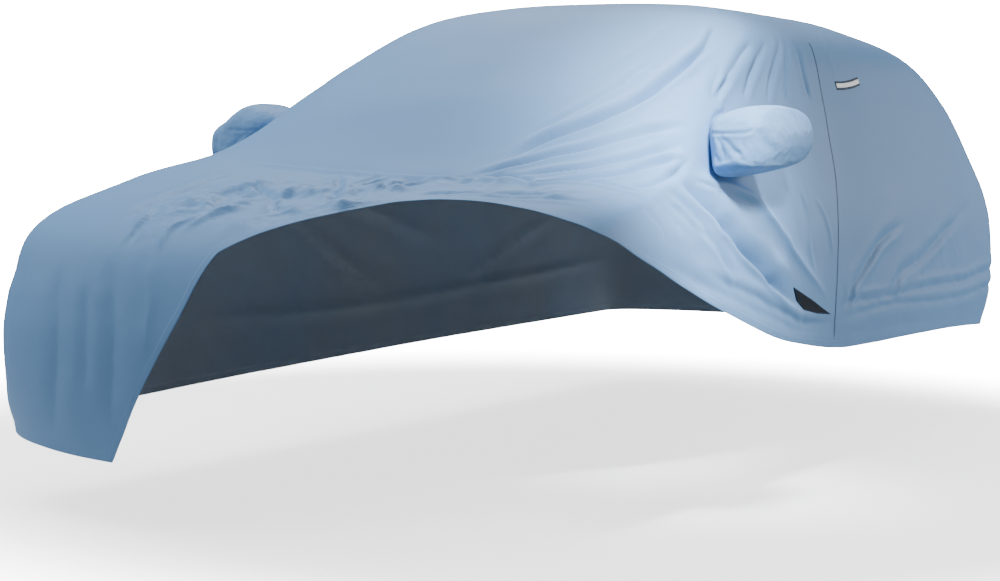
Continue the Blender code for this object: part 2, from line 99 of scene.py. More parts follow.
# ---- folds -------------------------------------------------------------------------------------
# A fold is a crease with a soft ridge on the left of its route, on its right, or on both. Its
# route is read on one panel: two directions to measure along, and the one that it faces.
PANELS = {
    "top": ((1, 0, 0), (0, 1, 0), (0, 0, 1)),
    "left": ((0, 1, 0), (0, 0, 1), (1, 0, 0)),
    "right": ((0, 1, 0), (0, 0, 1), (-1, 0, 0)),
    "front": ((1, 0, 0), (0, 0, 1), (0, -1, 0)),
    "back": ((1, 0, 0), (0, 0, 1), (0, 1, 0)),
    "pocket": ((0.844, 0.536, 0), (0, 0, 1), (0.536, -0.844, 0)),
}
DRAPE_PANELS = ("top", "left", "right", "front", "back")
PANEL_FADE = 0.3                         # folds fade on cloth that faces the panel by less
FOLD_COLUMNS = ("panel", "widths", "depth", "ridges", "route")
FOLDS = (
    # long pulls from the foot of the steep front slope to the left pocket and the roof's side
    ("top", (0.014, 0.010), 0.0193, (0.0105, 0.0086), (
        (0.33, 0.13), (0.41, 0.25), (0.49, 0.32), (0.54, 0.38), (0.59, 0.47), (0.61, 0.58),
        (0.62, 0.72), (0.62, 0.94))),
    ("top", (0.008, 0.008), 0.0067, (0.0034, 0.0012), ((0.62, 0.68), (0.61, 0.84), (0.57, 0.98))),
    ("top", (0.010, 0.008), 0.0133, (0.0076, 0.0058), (
        (0.27, 0.04), (0.37, 0.11), (0.46, 0.18), (0.55, 0.24), (0.63, 0.32), (0.69, 0.39),
        (0.75, 0.48))),
    ("top", (0.009, 0.007), 0.0133, (0.0076, 0.0058), (
        (0.39, 0.05), (0.52, 0.11), (0.60, 0.16), (0.68, 0.25), (0.73, 0.33), (0.77, 0.42))),
    ("top", (0.008, 0.007), 0.0114, (0.0058, 0.0038), (
        (0.54, 0.05), (0.65, 0.12), (0.71, 0.20), (0.75, 0.29), (0.79, 0.40))),
    ("top", (0.007, 0.007), 0.0076, (0.0038, 0.0038), ((0.76, 0.12), (0.79, 0.24), (0.79, 0.43))),
    ("top", (0.009, 0.007), 0.0117, (0.003, 0.0072), (
        (0.29, -0.05), (0.37, 0.05), (0.47, 0.04), (0.52, 0.01), (0.57, 0.06), (0.67, 0.09),
        (0.76, 0.10), (0.79, 0.16))),
    ("top", (0.020, 0.020), -0.0045, (0.0, 0.0), ((0.38, 0.52), (0.43, 0.72), (0.46, 0.95))),
    ("top", (0.009, 0.008), 0.0045, (0.003, 0.0015), (
        (0.34, 0.25), (0.43, 0.38), (0.49, 0.52), (0.51, 0.70))),
    # the line in which the steep front slope meets the flatter cloth before it
    ("top", (0.030, 0.010), 0.008, (0.000, 0.009), (
        (-0.52, 0.03), (-0.25, 0.02), (0.05, 0.02), (0.30, 0.03), (0.48, 0.05))),
    # folds that fan out from the roof's side down to the left pocket
    ("left", (0.011, 0.009), 0.0062, (0.0028, 0.0028), (
        (1.06, 1.37), (0.85, 1.28), (0.72, 1.21), (0.60, 1.16))),
    ("left", (0.010, 0.009), 0.0054, (0.0028, 0.0017), ((1.17, 1.37), (0.98, 1.28), (0.82, 1.17))),
    ("left", (0.010, 0.008), 0.0054, (0.0028, 0.0017), ((1.31, 1.39), (1.11, 1.27), (0.99, 1.16))),
    ("left", (0.009, 0.008), 0.0045, (0.0028, 0.0017), ((1.34, 1.39), (1.20, 1.27), (1.13, 1.16))),
    ("left", (0.010, 0.010), 0.0045, (0.0028, 0.0028), ((1.40, 1.38), (1.34, 1.28), (1.33, 1.17))),
    ("left", (0.015, 0.015), -0.0028, (0.0, 0.0), ((1.75, 1.43), (1.61, 1.33), (1.60, 1.23))),
    ("left", (0.006, 0.006), 0.0036, (0.0017, 0.0017), ((0.80, 1.29), (0.71, 1.23), (0.63, 1.18))),
    ("left", (0.006, 0.006), 0.0036, (0.0017, 0.0017), ((0.79, 1.24), (0.71, 1.20), (0.65, 1.17))),
    ("left", (0.007, 0.007), 0.0036, (0.0017, 0.0017), ((0.70, 1.14), (0.62, 1.12), (0.56, 1.08))),
    # the shoulder at the front left, where the cloth lies back before it falls
    ("left", (0.050, 0.060), 0.0074, (0.0, 0.0062), (
        (-0.22, 0.92), (0.10, 0.94), (0.40, 0.96), (0.80, 0.99))),
    # the long pull from under the left pocket to the foot of the zip: its lip is below it
    ("left", (0.026, 0.009), 0.0287, (0.0116, 0.0104), (
        (0.30, 0.955), (0.38, 0.90), (0.47, 0.85), (0.52, 0.81), (0.59, 0.77), (0.67, 0.72),
        (0.76, 0.68), (0.84, 0.63), (0.93, 0.59), (1.09, 0.515))),
    ("left", (0.016, 0.016), -0.013, (0.0, 0.0), (
        (0.40, 0.95), (0.57, 0.93), (0.73, 0.89), (0.80, 0.86), (0.86, 0.82), (0.95, 0.76),
        (1.00, 0.71), (1.12, 0.64), (1.33, 0.52))),
    ("left", (0.006, 0.006), 0.0037, (0.0018, 0.0018), (
        (0.39, 0.94), (0.54, 0.91), (0.66, 0.88), (0.78, 0.855))),
    ("left", (0.020, 0.016), 0.0032, (0.0010, 0.0016), (
        (1.00, 0.93), (1.03, 0.86), (1.05, 0.78), (1.07, 0.68))),
    ("left", (0.011, 0.011), -0.0033, (-0.0016, -0.0016), (
        (1.11, 0.93), (1.14, 0.83), (1.14, 0.72), (1.18, 0.62))),
    ("left", (0.010, 0.010), -0.0029, (-0.001, -0.001), ((1.20, 0.89), (1.29, 0.79), (1.32, 0.68))),
    ("left", (0.012, 0.009), 0.0064, (0.0029, 0.0037), (
        (0.20, 0.95), (0.32, 0.87), (0.44, 0.78), (0.55, 0.69), (0.62, 0.62))),
    ("left", (0.008, 0.008), 0.0034, (0.0021, 0.0011), ((0.23, 0.88), (0.32, 0.83), (0.44, 0.76))),
    ("left", (0.007, 0.007), 0.0025, (0.0011, 0.0011), ((0.05, 0.89), (0.13, 0.83), (0.16, 0.77))),
    ("left", (0.007, 0.007), 0.0031, (0.0014, 0.0014), ((0.12, 0.91), (0.21, 0.85), (0.28, 0.78))),
    ("left", (0.007, 0.007), 0.0031, (0.0021, 0.0014), ((0.21, 0.93), (0.34, 0.85), (0.43, 0.77))),
    # the band that gathers above the hem, in front of the zip and behind it
    ("left", (0.011, 0.020), 0.0087, (0.005, 0.0), (
        (0.36, 0.71), (0.51, 0.65), (0.62, 0.62), (0.74, 0.59), (0.86, 0.55), (0.97, 0.52),
        (1.06, 0.49), (1.12, 0.48), (1.24, 0.47), (1.42, 0.47))),
    ("left", (0.016, 0.016), 0.0043, (0.0025, 0.0019), (
        (0.14, 0.73), (0.32, 0.67), (0.45, 0.63), (0.60, 0.59), (0.73, 0.55), (0.92, 0.50),
        (1.07, 0.46), (1.40, 0.43))),
    ("left", (0.011, 0.016), 0.0074, (0.005, 0.0012), (
        (1.33, 0.50), (1.47, 0.52), (1.64, 0.52), (1.87, 0.52), (2.15, 0.53), (2.43, 0.53),
        (2.60, 0.53), (2.78, 0.55), (3.40, 0.58))),
    ("left", (0.010, 0.012), 0.005, (0.0031, 0.0012), (
        (1.33, 0.47), (1.58, 0.48), (1.85, 0.49), (2.20, 0.475), (2.56, 0.47), (2.85, 0.49),
        (3.40, 0.53))),
    ("left", (0.014, 0.014), 0.0025, (0.0012, 0.0012), ((1.40, 0.42), (1.80, 0.41), (2.50, 0.40))),
    ("left", (0.018, 0.011), 0.0093, (0.0046, 0.0046), (
        (1.43, 0.50), (1.46, 0.53), (1.50, 0.58), (1.58, 0.62), (1.68, 0.68), (1.80, 0.73),
        (1.99, 0.77))),
    ("left", (0.018, 0.012), 0.007, (0.0031, 0.0039), (
        (1.72, 0.51), (1.85, 0.54), (1.92, 0.59), (2.06, 0.62), (2.15, 0.64), (2.36, 0.72),
        (2.56, 0.77))),
    ("left", (0.020, 0.020), 0.0031, (0.0012, 0.0012), ((2.30, 0.68), (2.48, 0.76), (2.66, 0.82))),
    # creases on the flat cloth in front, beside the drawn back edge
    ("top", (0.016, 0.009), 0.0085, (0.0044, 0.0044), (
        (-0.30, -0.74), (-0.34, -0.59), (-0.37, -0.40), (-0.39, -0.22), (-0.39, -0.03))),
    ("top", (0.011, 0.011), -0.0085, (-0.0029, -0.0029), (
        (-0.11, -0.80), (-0.13, -0.75), (-0.12, -0.65), (-0.17, -0.55), (-0.26, -0.42))),
    ("top", (0.010, 0.010), -0.007, (-0.0029, -0.0029), ((-0.08, -0.76), (-0.07, -0.63),
                                                       (-0.05, -0.48))),
    ("top", (0.010, 0.008), 0.007, (0.0044, 0.0044), ((-0.29, -0.60), (-0.25, -0.71),
                                                    (-0.23, -0.79))),
    ("top", (0.010, 0.010), -0.0101, (-0.0044, -0.0044), (
        (0.01, -0.52), (-0.05, -0.39), (-0.06, -0.29), (-0.10, -0.12))),
    ("top", (0.010, 0.008), 0.0101, (0.0044, 0.0044), (
        (-0.27, -0.29), (-0.09, -0.38), (0.00, -0.48), (0.09, -0.57))),
    ("top", (0.012, 0.009), 0.0101, (0.0057, 0.0044), ((-0.14, -0.01), (0.04, -0.26),
                                                    (0.17, -0.45))),
    ("top", (0.009, 0.009), -0.007, (-0.0029, -0.0029), ((0.07, -0.27), (0.02, -0.12),
                                                       (0.04, -0.01))),
    ("top", (0.010, 0.010), -0.007, (-0.0029, -0.0029), ((0.21, -0.24), (0.16, -0.10),
                                                       (0.19, 0.00))),
    ("top", (0.009, 0.009), 0.007, (0.0044, 0.0029), ((0.19, -0.32), (0.14, -0.14),
                                                    (0.12, -0.02))),
    ("top", (0.012, 0.010), 0.007, (0.0044, 0.0044), ((0.26, -0.24), (0.42, -0.15), (0.56, -0.10),
                                                    (0.70, -0.02))),
    ("top", (0.010, 0.010), 0.0057, (0.0029, 0.0029), ((0.44, -0.20), (0.60, -0.15),
                                                    (0.76, -0.08))),
    # the full corner at the front right
    ("right", (0.110, 0.110), -0.022, (0.0, 0.0), (
        (-0.62, 0.66), (-0.64, 0.52), (-0.64, 0.38), (-0.60, 0.22))),
    # soft upright folds in front, and the cloth that hangs plainly behind and on the right
    ("front", (0.030, 0.024), 0.0042, (0.0018, 0.0018), ((-0.29, 0.73), (-0.24, 0.62), (-0.23, 0.48),
                                                      (-0.26, 0.24))),
    ("front", (0.030, 0.026), 0.0048, (0.0024, 0.0018), ((-0.48, 0.71), (-0.45, 0.55), (-0.46, 0.39),
                                                      (-0.51, 0.21))),
    ("front", (0.022, 0.022), -0.003, (0.0, 0.0), ((-0.14, 0.73), (-0.11, 0.62), (-0.12, 0.46))),
    ("front", (0.018, 0.018), 0.0024, (0.0012, 0.0012), ((-0.35, 0.66), (-0.33, 0.53),
                                                      (-0.34, 0.36))),
    ("back", (0.040, 0.030), 0.0063, (0.0035, 0.0021), ((0.42, 0.32), (0.36, 0.62), (0.24, 0.92))),
    ("back", (0.030, 0.040), 0.0063, (0.0021, 0.0035), ((-0.40, 0.30), (-0.30, 0.60),
                                                     (-0.26, 0.88))),
    ("back", (0.014, 0.020), 0.0063, (0.0042, 0.0), ((-0.80, 0.53), (-0.30, 0.51), (0.30, 0.52),
                                                     (0.80, 0.55))),
    ("right", (0.024, 0.012), 0.0098, (0.0028, 0.0063), (
        (0.34, 0.95), (0.62, 0.78), (0.90, 0.62), (1.24, 0.45))),
    ("right", (0.020, 0.020), 0.0063, (0.0021, 0.0042), ((0.48, 0.94), (1.00, 0.80), (1.64, 0.61))),
    ("right", (0.014, 0.018), 0.0084, (0.0042, 0.0021), (
        (0.00, 0.45), (0.90, 0.43), (1.60, 0.45), (2.30, 0.48), (3.00, 0.52))),
    ("right", (0.014, 0.012), 0.0056, (0.0014, 0.0028), ((1.12, 1.360), (0.86, 1.250),
                                                      (0.64, 1.165))),
    ("right", (0.018, 0.024), 0.007, (0.0028, 0.0042), ((1.66, 0.46), (2.05, 0.60), (2.48, 0.75))),
)
ROUTE_STEPS = 26
FOLD_FADE = 0.20                         # share of its route in which each end of a fold fades
FOLD_REACH = 6.0                         # how many widths past its crease a fold still moves
RIDGE_PLACE, RIDGE_WIDTH = 2.4, 1.5      # of a ridge, in widths of its fold
CREASE_DROP, CREASE_ROUND = 1.3, 0.35    # how fast a crease's sides rise, how round its bottom is
WANDER, WANDER_LENGTH = 0.0014, 0.135    # of a crease from side to side, in metres
UNEVEN_DEPTH, UNEVEN_LENGTH = 0.14, 0.24

# Where the cloth is crumpled like stiff film: panel, centre, radii, turn in degrees, how strongly.
CRUMPLE_COLUMNS = ("panel", "centre", "radii", "turn", "weight")
CRUMPLES = (
    ("top", (-0.15, -0.46), (0.24, 0.40), -12, 1.00),
    ("top", (0.02, -0.20), (0.34, 0.24), 10, 0.95),
    ("top", (0.16, -0.50), (0.13, 0.34), -28, 0.90),
    ("top", (0.45, -0.10), (0.40, 0.20), 0, 0.55),
    ("left", (0.20, 0.88), (0.36, 0.10), -20, 0.26),
    ("left", (0.60, 0.80), (0.45, 0.16), -30, 0.12),
    ("left", (0.62, 1.18), (0.20, 0.14), 0, 0.20),
    ("left", (2.10, 0.58), (0.80, 0.14), 8, 0.14),
)
CRUMPLE_RISE = 1.6                       # how fast an oval gains its strength in from its rim
# The facets' sizes across and along in metres, their height, and the start of their scatter.
# They lie on a plane that leans with height and is turned, and two slow waves bend it: height,
# pace and start of each.
FACET_LEANS = (0.6, 0.5)
FACET_TURN = -20
FACET_WAVES = ((0.012, 27, 1.0), (0.018, 19, 0.4))
FACET_MEAN = 0.45
SCATTER_PACES, SCATTER_HEIGHT = (127.1, 311.7, 74.7), 43758.5453
FACETS = ((0.125, 0.240, 0.0190, 0.53), (0.062, 0.115, 0.0090, 0.31),
          (0.031, 0.054, 0.0030, 0.77))
HEM_CALM = 0.14                          # the crumples fade over this distance above the edge
CROWN_CALM = 0.1                         # the unevenness grows over this share of the fall
# Slight unevenness of all the cloth: wavelength, direction in space, height, start.
UNEVEN_WAVES = (
    (0.31, (0.9, 0.3, 0.4), 0.0005, 0.0), (0.23, (-0.3, 0.8, 0.5), 0.0004, 1.3),
    (0.17, (0.5, -0.6, 0.7), 0.0002, 2.1), (0.39, (0.2, 0.9, -0.4), 0.0006, 0.6),
)

# ---- how the cloth is split and meshed ---------------------------------------------------------
# One sheet of cloth is made as five objects, so that each stays light. Their borders are columns,
# or the zip's line.
ZIP = "zip"
PATCH_COLUMNS = ("name", "start", "end", "count", "flat")
PATCHES = (
    ("cloth_wing", -1.0, -0.45, 81, (0.80, 2.15)),
    ("cloth_front", -0.45, 1.0, 261, (1.75, 2.15)),
    ("cloth_door", 1.0, ZIP, 221, (1.60, 1.80)),
    ("cloth_rear", ZIP, 2.35, 241, (2.70, 2.15)),
    ("cloth_far", 2.35, 5.0, 281, (5.10, 2.15)),
)
ROOF_SHARE, ROOF_ROWS, DROP_ROWS = 0.15, 12, 249
HEM_ROWS = (0.0226, 0.0212, 0.0198, 0.0185, 0.0172, 0.0120, 0.0060, 0.0020, 0.0008, 0.0)
HEM_TOP = 0.026                          # the last even row's height above the edge
PLACE_ROUNDS = 4                         # in which a patch's columns and falls settle
COLUMN_NUDGE, FALL_NUDGE = 0.0012, 0.0016
CLOSE_COLUMNS = 0.012                    # metres from one whole column to the next on the roof
# Where the search for a place starts, in columns and falls, and how it goes on.
SEARCH_COLUMNS, SEARCH_FALLS = (0.9, 2.6, 69), (0.2, 1.0, 65)
SEARCH_ROUNDS, SEARCH_STEP = 7, 0.02
ROUTE_POINTS = 400                       # by which the metres along a route are measured

# ---- trims, on the left side in (y, z) ---------------------------------------------------------
ZIP_ROUTE = ((1.515, 1.372), (1.470, 1.300), (1.440, 1.200), (1.420, 1.080), (1.415, 0.950),
             (1.385, 0.820), (1.360, 0.660), (1.345, 0.520), (1.360, 0.415))
ZIP_POINTS, ZIP_END = 60, 0.004          # of the slit's line, and how long its round ends are
STRIP_ROUTE = ((1.580, 1.232), (1.650, 1.2345), (1.720, 1.241), (1.790, 1.252))
# The dark patch at the foot of the zip is painted shade: a dark sheet where the fold's open mouth
# lies in shade. Its corners in (y, z):
SHADE_PATCH = ((1.005, 0.600), (1.035, 0.555), (1.085, 0.524), (1.190, 0.505), (1.305, 0.494),
          (1.160, 0.548))
SHADE_PATCH_HEIGHT = 0.0014                   # of its outer face above the cloth
SHADE_PATCH_THICK = 0.0012
SHADE_PATCH_STEPS, SHADE_PATCH_RINGS = 12, 8       # of each edge, and from its middle to its edge
# Heights above the cloth's outside at which each ribbon starts and ends.
TAPE_LEVELS, WEBBING_LEVELS, BAND_LEVELS = (-0.0036, -0.0026), (0.0, 0.0012), (0.0012, 0.0019)
BAND_INSET = 0.003                       # from each end of the webbing to the white band
RIBBON_SPACING, RIBBON_STEPS = 0.005, 7  # of a ribbon's points along it, and their number across
TOOTH_HALVES = (0.0016, 0.0009, 0.0009)  # of a zip tooth across, along and up
TOOTH_OFFSET, TOOTH_HEIGHT = 0.0004, -0.0017     # from the zip's line, and from the cloth
# The stitches' distances from the zip's line, from the strip's and from a pocket's root, and how
# far in from the edge of the dark patch of painted shade, as a share of the way to its middle.
ZIP_SEAM, STRIP_SEAM, POCKET_SEAM, SHADE_PATCH_SEAM = 0.0080, 0.0112, 0.006, 0.10
SEAM_COLUMNS, SEAM_SPACING = 3001, 0.01
HEM_SEAM = 0.0185                        # of the hem's stitches above the edge
HEM_STEP = 0.0012                        # width of the step at the hem's upper side
GROOVE_SHARE, GROOVE_WIDTH = 0.5, 0.0011  # of the stitches' groove, its depth in hem raises
EDGE_SHARE, EDGE_ROUND = 1.1, 0.0022     # of the round lower edge, its depth in hem raises

# ---- mirror pockets, in (y, z) at shares of their reach from root to tip -----------------------
# Each section is its reach, y_front, y_back, z_low and z_high.
LEFT_POCKET = (
    (0.00, 0.545, 0.765, 0.950, 1.106),
    (0.12, 0.506, 0.795, 0.946, 1.124),
    (0.35, 0.484, 0.824, 0.952, 1.143),
    (0.60, 0.478, 0.850, 0.964, 1.153),
    (0.80, 0.488, 0.864, 0.976, 1.151),
    (0.93, 0.515, 0.862, 0.992, 1.134),
    (1.00, 0.560, 0.836, 1.018, 1.098),
)
RIGHT_POCKET = (
    (0.00, 0.450, 0.685, 0.975, 1.095),
    (0.12, 0.425, 0.705, 0.967, 1.113),
    (0.35, 0.405, 0.735, 0.958, 1.134),
    (0.50, 0.398, 0.752, 0.956, 1.141),
    (0.75, 0.398, 0.772, 0.958, 1.098),
    (0.93, 0.412, 0.776, 0.964, 1.066),
    (1.00, 0.450, 0.756, 0.984, 1.046),
)
POCKETS = {
    "mirror_pocket_left": {"side": 1, "tip": 0.975, "sections": LEFT_POCKET,
                           "shift": (0.0, 0.0), "swell": 1.0},
    "mirror_pocket_right": {"side": -1, "tip": 1.000, "sections": RIGHT_POCKET,
                            "shift": (-0.046, -0.020), "swell": 0.35},
}
POCKET_FOLDS = (
    # the seam across its front, and the crease below the round upper lobe
    ("pocket", (0.004, 0.004), 0.003, (0.0015, 0.0015), (
        (0.925, 1.068), (0.97, 1.071), (1.01, 1.074), (1.045, 1.077), (1.058, 1.090))),
    ("pocket", (0.008, 0.010), 0.0042, (0.0032, 0.0010), (
        (1.060, 1.092), (1.077, 1.071), (1.095, 1.049), (1.122, 1.031), (1.135, 1.018))),
    # the sharp lower edge of its boxy front, with the drawn in underside below it
    ("pocket", (0.005, 0.010), -0.0039, (0.0, -0.0039), (
        (0.945, 0.965), (0.961, 0.980), (0.988, 0.986), (1.016, 0.995), (1.039, 0.988),
        (1.069, 0.984), (1.114, 0.984), (1.156, 0.983), (1.19, 0.990))),
    ("pocket", (0.005, 0.005), 0.0042, (0.0018, 0.0018), (
        (0.945, 1.058), (0.953, 1.031), (0.960, 1.008), (0.972, 0.985))),
    ("pocket", (0.005, 0.005), 0.0034, (0.0018, 0.0012), (
        (0.965, 1.069), (0.992, 1.045), (1.008, 1.024), (1.030, 1.012))),
    ("pocket", (0.004, 0.004), 0.0024, (0.0011, 0.0011), (
        (0.955, 1.066), (0.975, 1.040), (0.982, 1.012))),
    ("pocket", (0.005, 0.005), 0.0023, (0.0007, 0.0013), ((0.935, 1.104), (0.985, 1.128),
                                                        (1.03, 1.136))),
    ("pocket", (0.006, 0.006), 0.0016, (0.0013, 0.0007), ((1.04, 1.140), (1.12, 1.141),
                                                        (1.18, 1.128), (1.21, 1.104))),
)
# Facets on a pocket: centre and radii on its panel, and how strongly it is crumpled.
POCKET_CRUMPLES = (((1.00, 1.03), (0.10, 0.07), 1.0), ((1.14, 1.09), (0.11, 0.08), 0.65))
POCKET_FACETS = ((0.030, 0.042, 0.0024, 0.53), (0.014, 0.019, 0.0011, 0.15))
POCKET_LOBE = ((1.155, 1.085), (0.095, 0.075), 0.007)    # centre, radii and height of its swell
POCKET_SQUARENESS, POCKET_CORNER = 2.7, 6.5      # powers of its outline, and at its boxy corner
POCKET_SIDES, POCKET_REACHES, POCKET_CAP_ROWS = 256, 56, 12
POCKET_CAP_BULGE = 0.008
POCKET_START = 0.0006                    # of its root above the cloth
POCKET_CALM = 0.12                       # share of its rows in which the folds grow from its root
POCKET_CREASED = 0.8                     # how strong the fine creases of its finish are

# ---- finishes: threads a metre, roughness, how deep the threads are, how strongly it reflects ---
WOVEN = {
    "zip tape": (1100.0, 0.70, 0.0001, 0.3),
    "navy webbing": (700.0, 0.65, 0.0003, 0.3),
    "reflector": (900.0, 0.28, 0.0001, 0.3),
    # the dark patch's finish: painted shade of the fold's open mouth
    "dark coated cloth": (1600.0, 0.80, 0.00006, 0.1),
}
CLOTH_ROUGHNESS, CLOTH_THREAD_DEPTH, CLOTH_SPECULAR = 0.50, 0.00004, 0.12
# Of the film-like creases: how many a metre, their height, and its share where the cloth is plain
# and what a crumpled place adds to it.
CREASE_SCALE, CREASE_HEIGHT, CREASE_PLAIN, CREASE_LOOSE = 30.0, 0.0030, 0.08, 0.90
LINING_ROUGHNESS, LINING_THREADS, LINING_DEPTH, LINING_SHEEN = 0.85, 1400.0, 0.00006, 0.2
ROUGHNESS_SPREAD = 0.08                  # from a woven cloth's first tone to its second
WOVEN_PALE, MOULDED_PALE = 1.5, 1.3      # the second tone's share of the first
MOULDED_SCALE, MOULDED_ROUGHNESS = 40.0, 0.5

# ---- lights: azimuth from +X to +Y and elevation in degrees, distance, size, aim, spread --------
LIGHT_COLUMNS = ("name", "azimuth", "elevation", "distance", "size", "aim", "spread")
MIDDLE, PILLAR, WING_AIM = (0.0, 0.3, -0.8), (0.72, -0.80, -0.42), (0.85, -1.08, -0.60)
LIGHTS = (
    ("rear", 90, 50, 6.5, 3.4, MIDDLE, 180),
    ("rear_right", 135, 50, 6.5, 3.4, MIDDLE, 180),
    ("front_right", 225, 50, 6.5, 3.4, MIDDLE, 180),
    ("front", 270, 50, 6.5, 3.4, MIDDLE, 180),
    ("low_left", 45, 14, 6.5, 3.4, MIDDLE, 180),
    ("low_right", 225, 14, 6.5, 3.4, MIDDLE, 180),
    ("overhead", 0, 86, 3.0, 0.5, PILLAR, 24),
    ("wing", 318, 38, 3.0, 0.4, WING_AIM, 18),
)
FLOOR_SOLID, FLOOR_GONE = 1.9, 4.2       # radii at which the floor begins to fade and is gone
FLOOR_COVER = 0.950                      # how much of the white behind it the floor hides
FLOOR_MIDDLE = np.array((0.0, 1.1, 0.0))
FLOOR_RINGS, FLOOR_SIDES = (0.5, 1.5, 2.5, 3.5, 5.0), 96
SOFT_COLOUR, WHITE = (0.93, 0.96, 1.0, 1.0), (1.0, 1.0, 1.0, 1.0)

# ---- camera, in the part's frame ---------------------------------------------------------------
CAMERA_PLACE = (3.351, -6.116, -0.4105)
CAMERA_YAW, CAMERA_PITCH, CAMERA_ROLL = (math.radians(a) for a in (32.443, -4.927, 0.959))
CAMERA_LENS, CAMERA_SENSOR = 71.15, 36.0  # mm, and how wide in mm


# ==== sizes and colours a user would change =====================================================
class CoverSizes(bpy.types.PropertyGroup):
    """Sizes of the cloth and its sewing."""
    cloth: bpy.props.FloatProperty(
        name="Cloth", description="Thickness of the cloth", default=0.002, unit="LENGTH")
    hem_width: bpy.props.FloatProperty(
        name="Hem width", description="Width of the turned hem", default=0.022, unit="LENGTH")
    hem_raise: bpy.props.FloatProperty(
        name="Hem raise", description="How proud the turned hem stands", default=0.0009,
        unit="LENGTH")
    slit: bpy.props.FloatProperty(
        name="Slit", description="Width of the slit that the zip closes", default=0.0064,
        unit="LENGTH")
    tape: bpy.props.FloatProperty(
        name="Tape", description="Width of the zip's tape", default=0.030, unit="LENGTH")
    tooth_pitch: bpy.props.FloatProperty(
        name="Tooth pitch", description="From one tooth of the zip to the next", default=0.0025,
        unit="LENGTH")
    strip_width: bpy.props.FloatProperty(
        name="Strip", description="Width of the strip's webbing", default=0.028, unit="LENGTH")
    reflector_width: bpy.props.FloatProperty(
        name="Reflector", description="Width of the strip's white band", default=0.0145,
        unit="LENGTH")
    stitch: bpy.props.FloatProperty(
        name="Stitch", description="Length of one stitch", default=0.0030, unit="LENGTH")
    stitch_pitch: bpy.props.FloatProperty(
        name="Stitch pitch", description="From one stitch to the next", default=0.0042,
        unit="LENGTH")
    thread: bpy.props.FloatProperty(
        name="Thread", description="Thickness of the sewing thread", default=0.0008,
        unit="LENGTH")
    weave_pitch: bpy.props.FloatProperty(
        name="Weave pitch", description="From one thread of the cloth to the next",
        default=0.0006, unit="LENGTH")
    crumple: bpy.props.FloatProperty(
        name="Crumple", description="How strongly the loose cloth is crumpled", default=1.0,
        subtype="FACTOR")


def colour_property(name, description, colour):
    """A colour that the sidebar shows, linear."""
    return bpy.props.FloatVectorProperty(name=name, description=description, default=colour,
                                         subtype="COLOR", size=3, min=0, max=1)


class CoverColours(bpy.types.PropertyGroup):
    """Colours of the cover, linear."""
    cloth: colour_property("Cloth", "Coated cloth", (0.140, 0.288, 0.535))
    cloth_pale: colour_property("Pale cloth", "Coated cloth where it is dusty or worn",
                                (0.168, 0.322, 0.565))
    lining: colour_property("Lining", "Soft backing inside", (0.30, 0.36, 0.43))
    thread: colour_property("Thread", "Sewing thread", (0.110, 0.220, 0.400))
    # painted shade: the colour of the dark patch that stands for the shade in the fold's open mouth
    dark: colour_property("Dark cloth", "Gusset", (0.007, 0.011, 0.019))
    tape: colour_property("Zip tape", "Woven tape of the zip", (0.020, 0.034, 0.055))
    teeth: colour_property("Zip teeth", "Moulded teeth", (0.030, 0.048, 0.075))
    webbing: colour_property("Webbing", "Navy edge of the strip", (0.008, 0.020, 0.048))
    reflector: colour_property("Reflector", "White band of the strip", (0.90, 0.92, 0.95))
    floor: colour_property("Floor", "Pale floor", (0.90, 0.90, 0.90))


class CoverStage(bpy.types.PropertyGroup):
    """Strengths of the studio's lights, in watts, and of its background."""
    rear: bpy.props.FloatProperty(
        name="Rear", description="Large softbox above the rear", default=115.0)
    rear_right: bpy.props.FloatProperty(
        name="Rear right", description="Large softbox above the rear right", default=190.0)
    front_right: bpy.props.FloatProperty(
        name="Front right", description="Large softbox above the front right", default=250.0)
    front: bpy.props.FloatProperty(
        name="Front", description="Large softbox above the front", default=180.0)
    low_left: bpy.props.FloatProperty(
        name="Low left", description="Large softbox low at the rear left", default=330.0)
    low_right: bpy.props.FloatProperty(
        name="Low right", description="Large softbox low at the front right", default=75.0)
    overhead: bpy.props.FloatProperty(
        name="Overhead", description="Small lamp above the mirror pocket", default=7.5)
    wing: bpy.props.FloatProperty(
        name="Wing", description="Small lamp that faces the wing and the mirror pocket", default=5.5)
    ambient: bpy.props.FloatProperty(
        name="Ambient", description="Strength of the even light from all round", default=0.02)
    background: bpy.props.FloatProperty(
        name="Background", description="Strength of the white behind the floor", default=40.0)


# ==== shape of the drape ========================================================================
def quarter_turn(across, along, shares):
    """Points of a quarter superellipse, |x/across|^p + |1 - y/along|^p = 1, even in its length."""
    angle = np.linspace(0.0, math.pi / 2, 241)
    x = across * np.sin(angle) ** (2 / CORNER_POWER)
    y = along * (1 - np.cos(angle) ** (2 / CORNER_POWER))
    length = np.concatenate(([0.0], np.cumsum(np.hypot(np.diff(x), np.diff(y)))))
    at = shares * length[-1]
    return np.interp(at, length, x), np.interp(at, length, y)


def cubic_parts(knots, at):
    """Which span of knots each value of at lies in, and a cubic's four weights there."""
    span = np.clip(np.searchsorted(knots, at, side="right") - 1, 0, len(knots) - 2)
    gap = knots[span + 1] - knots[span]
    f = (at - knots[span]) / gap
    weights = (2 * f**3 - 3 * f**2 + 1, (f**3 - 2 * f**2 + f) * gap,
               3 * f**2 - 2 * f**3, (f**3 - f**2) * gap)
    return span, weights


def smooth_curve(knots, values, at):
    """Cubic through values at knots, with each knot's slope taken from its two neighbours."""
    slopes = np.gradient(values, knots, axis=0)
    span, (a, b, c, d) = cubic_parts(knots, at)
    if values.ndim > 1:
        a, b, c, d = (weight[..., None] for weight in (a, b, c, d))
    return a * values[span] + b * slopes[span] + c * values[span + 1] + d * slopes[span + 1]


def wrapped(columns):
    """The same columns between -3 and 3, since 3 and -3 are both the middle of the back."""
    return (np.asarray(columns, float) + 3) % 6 - 3


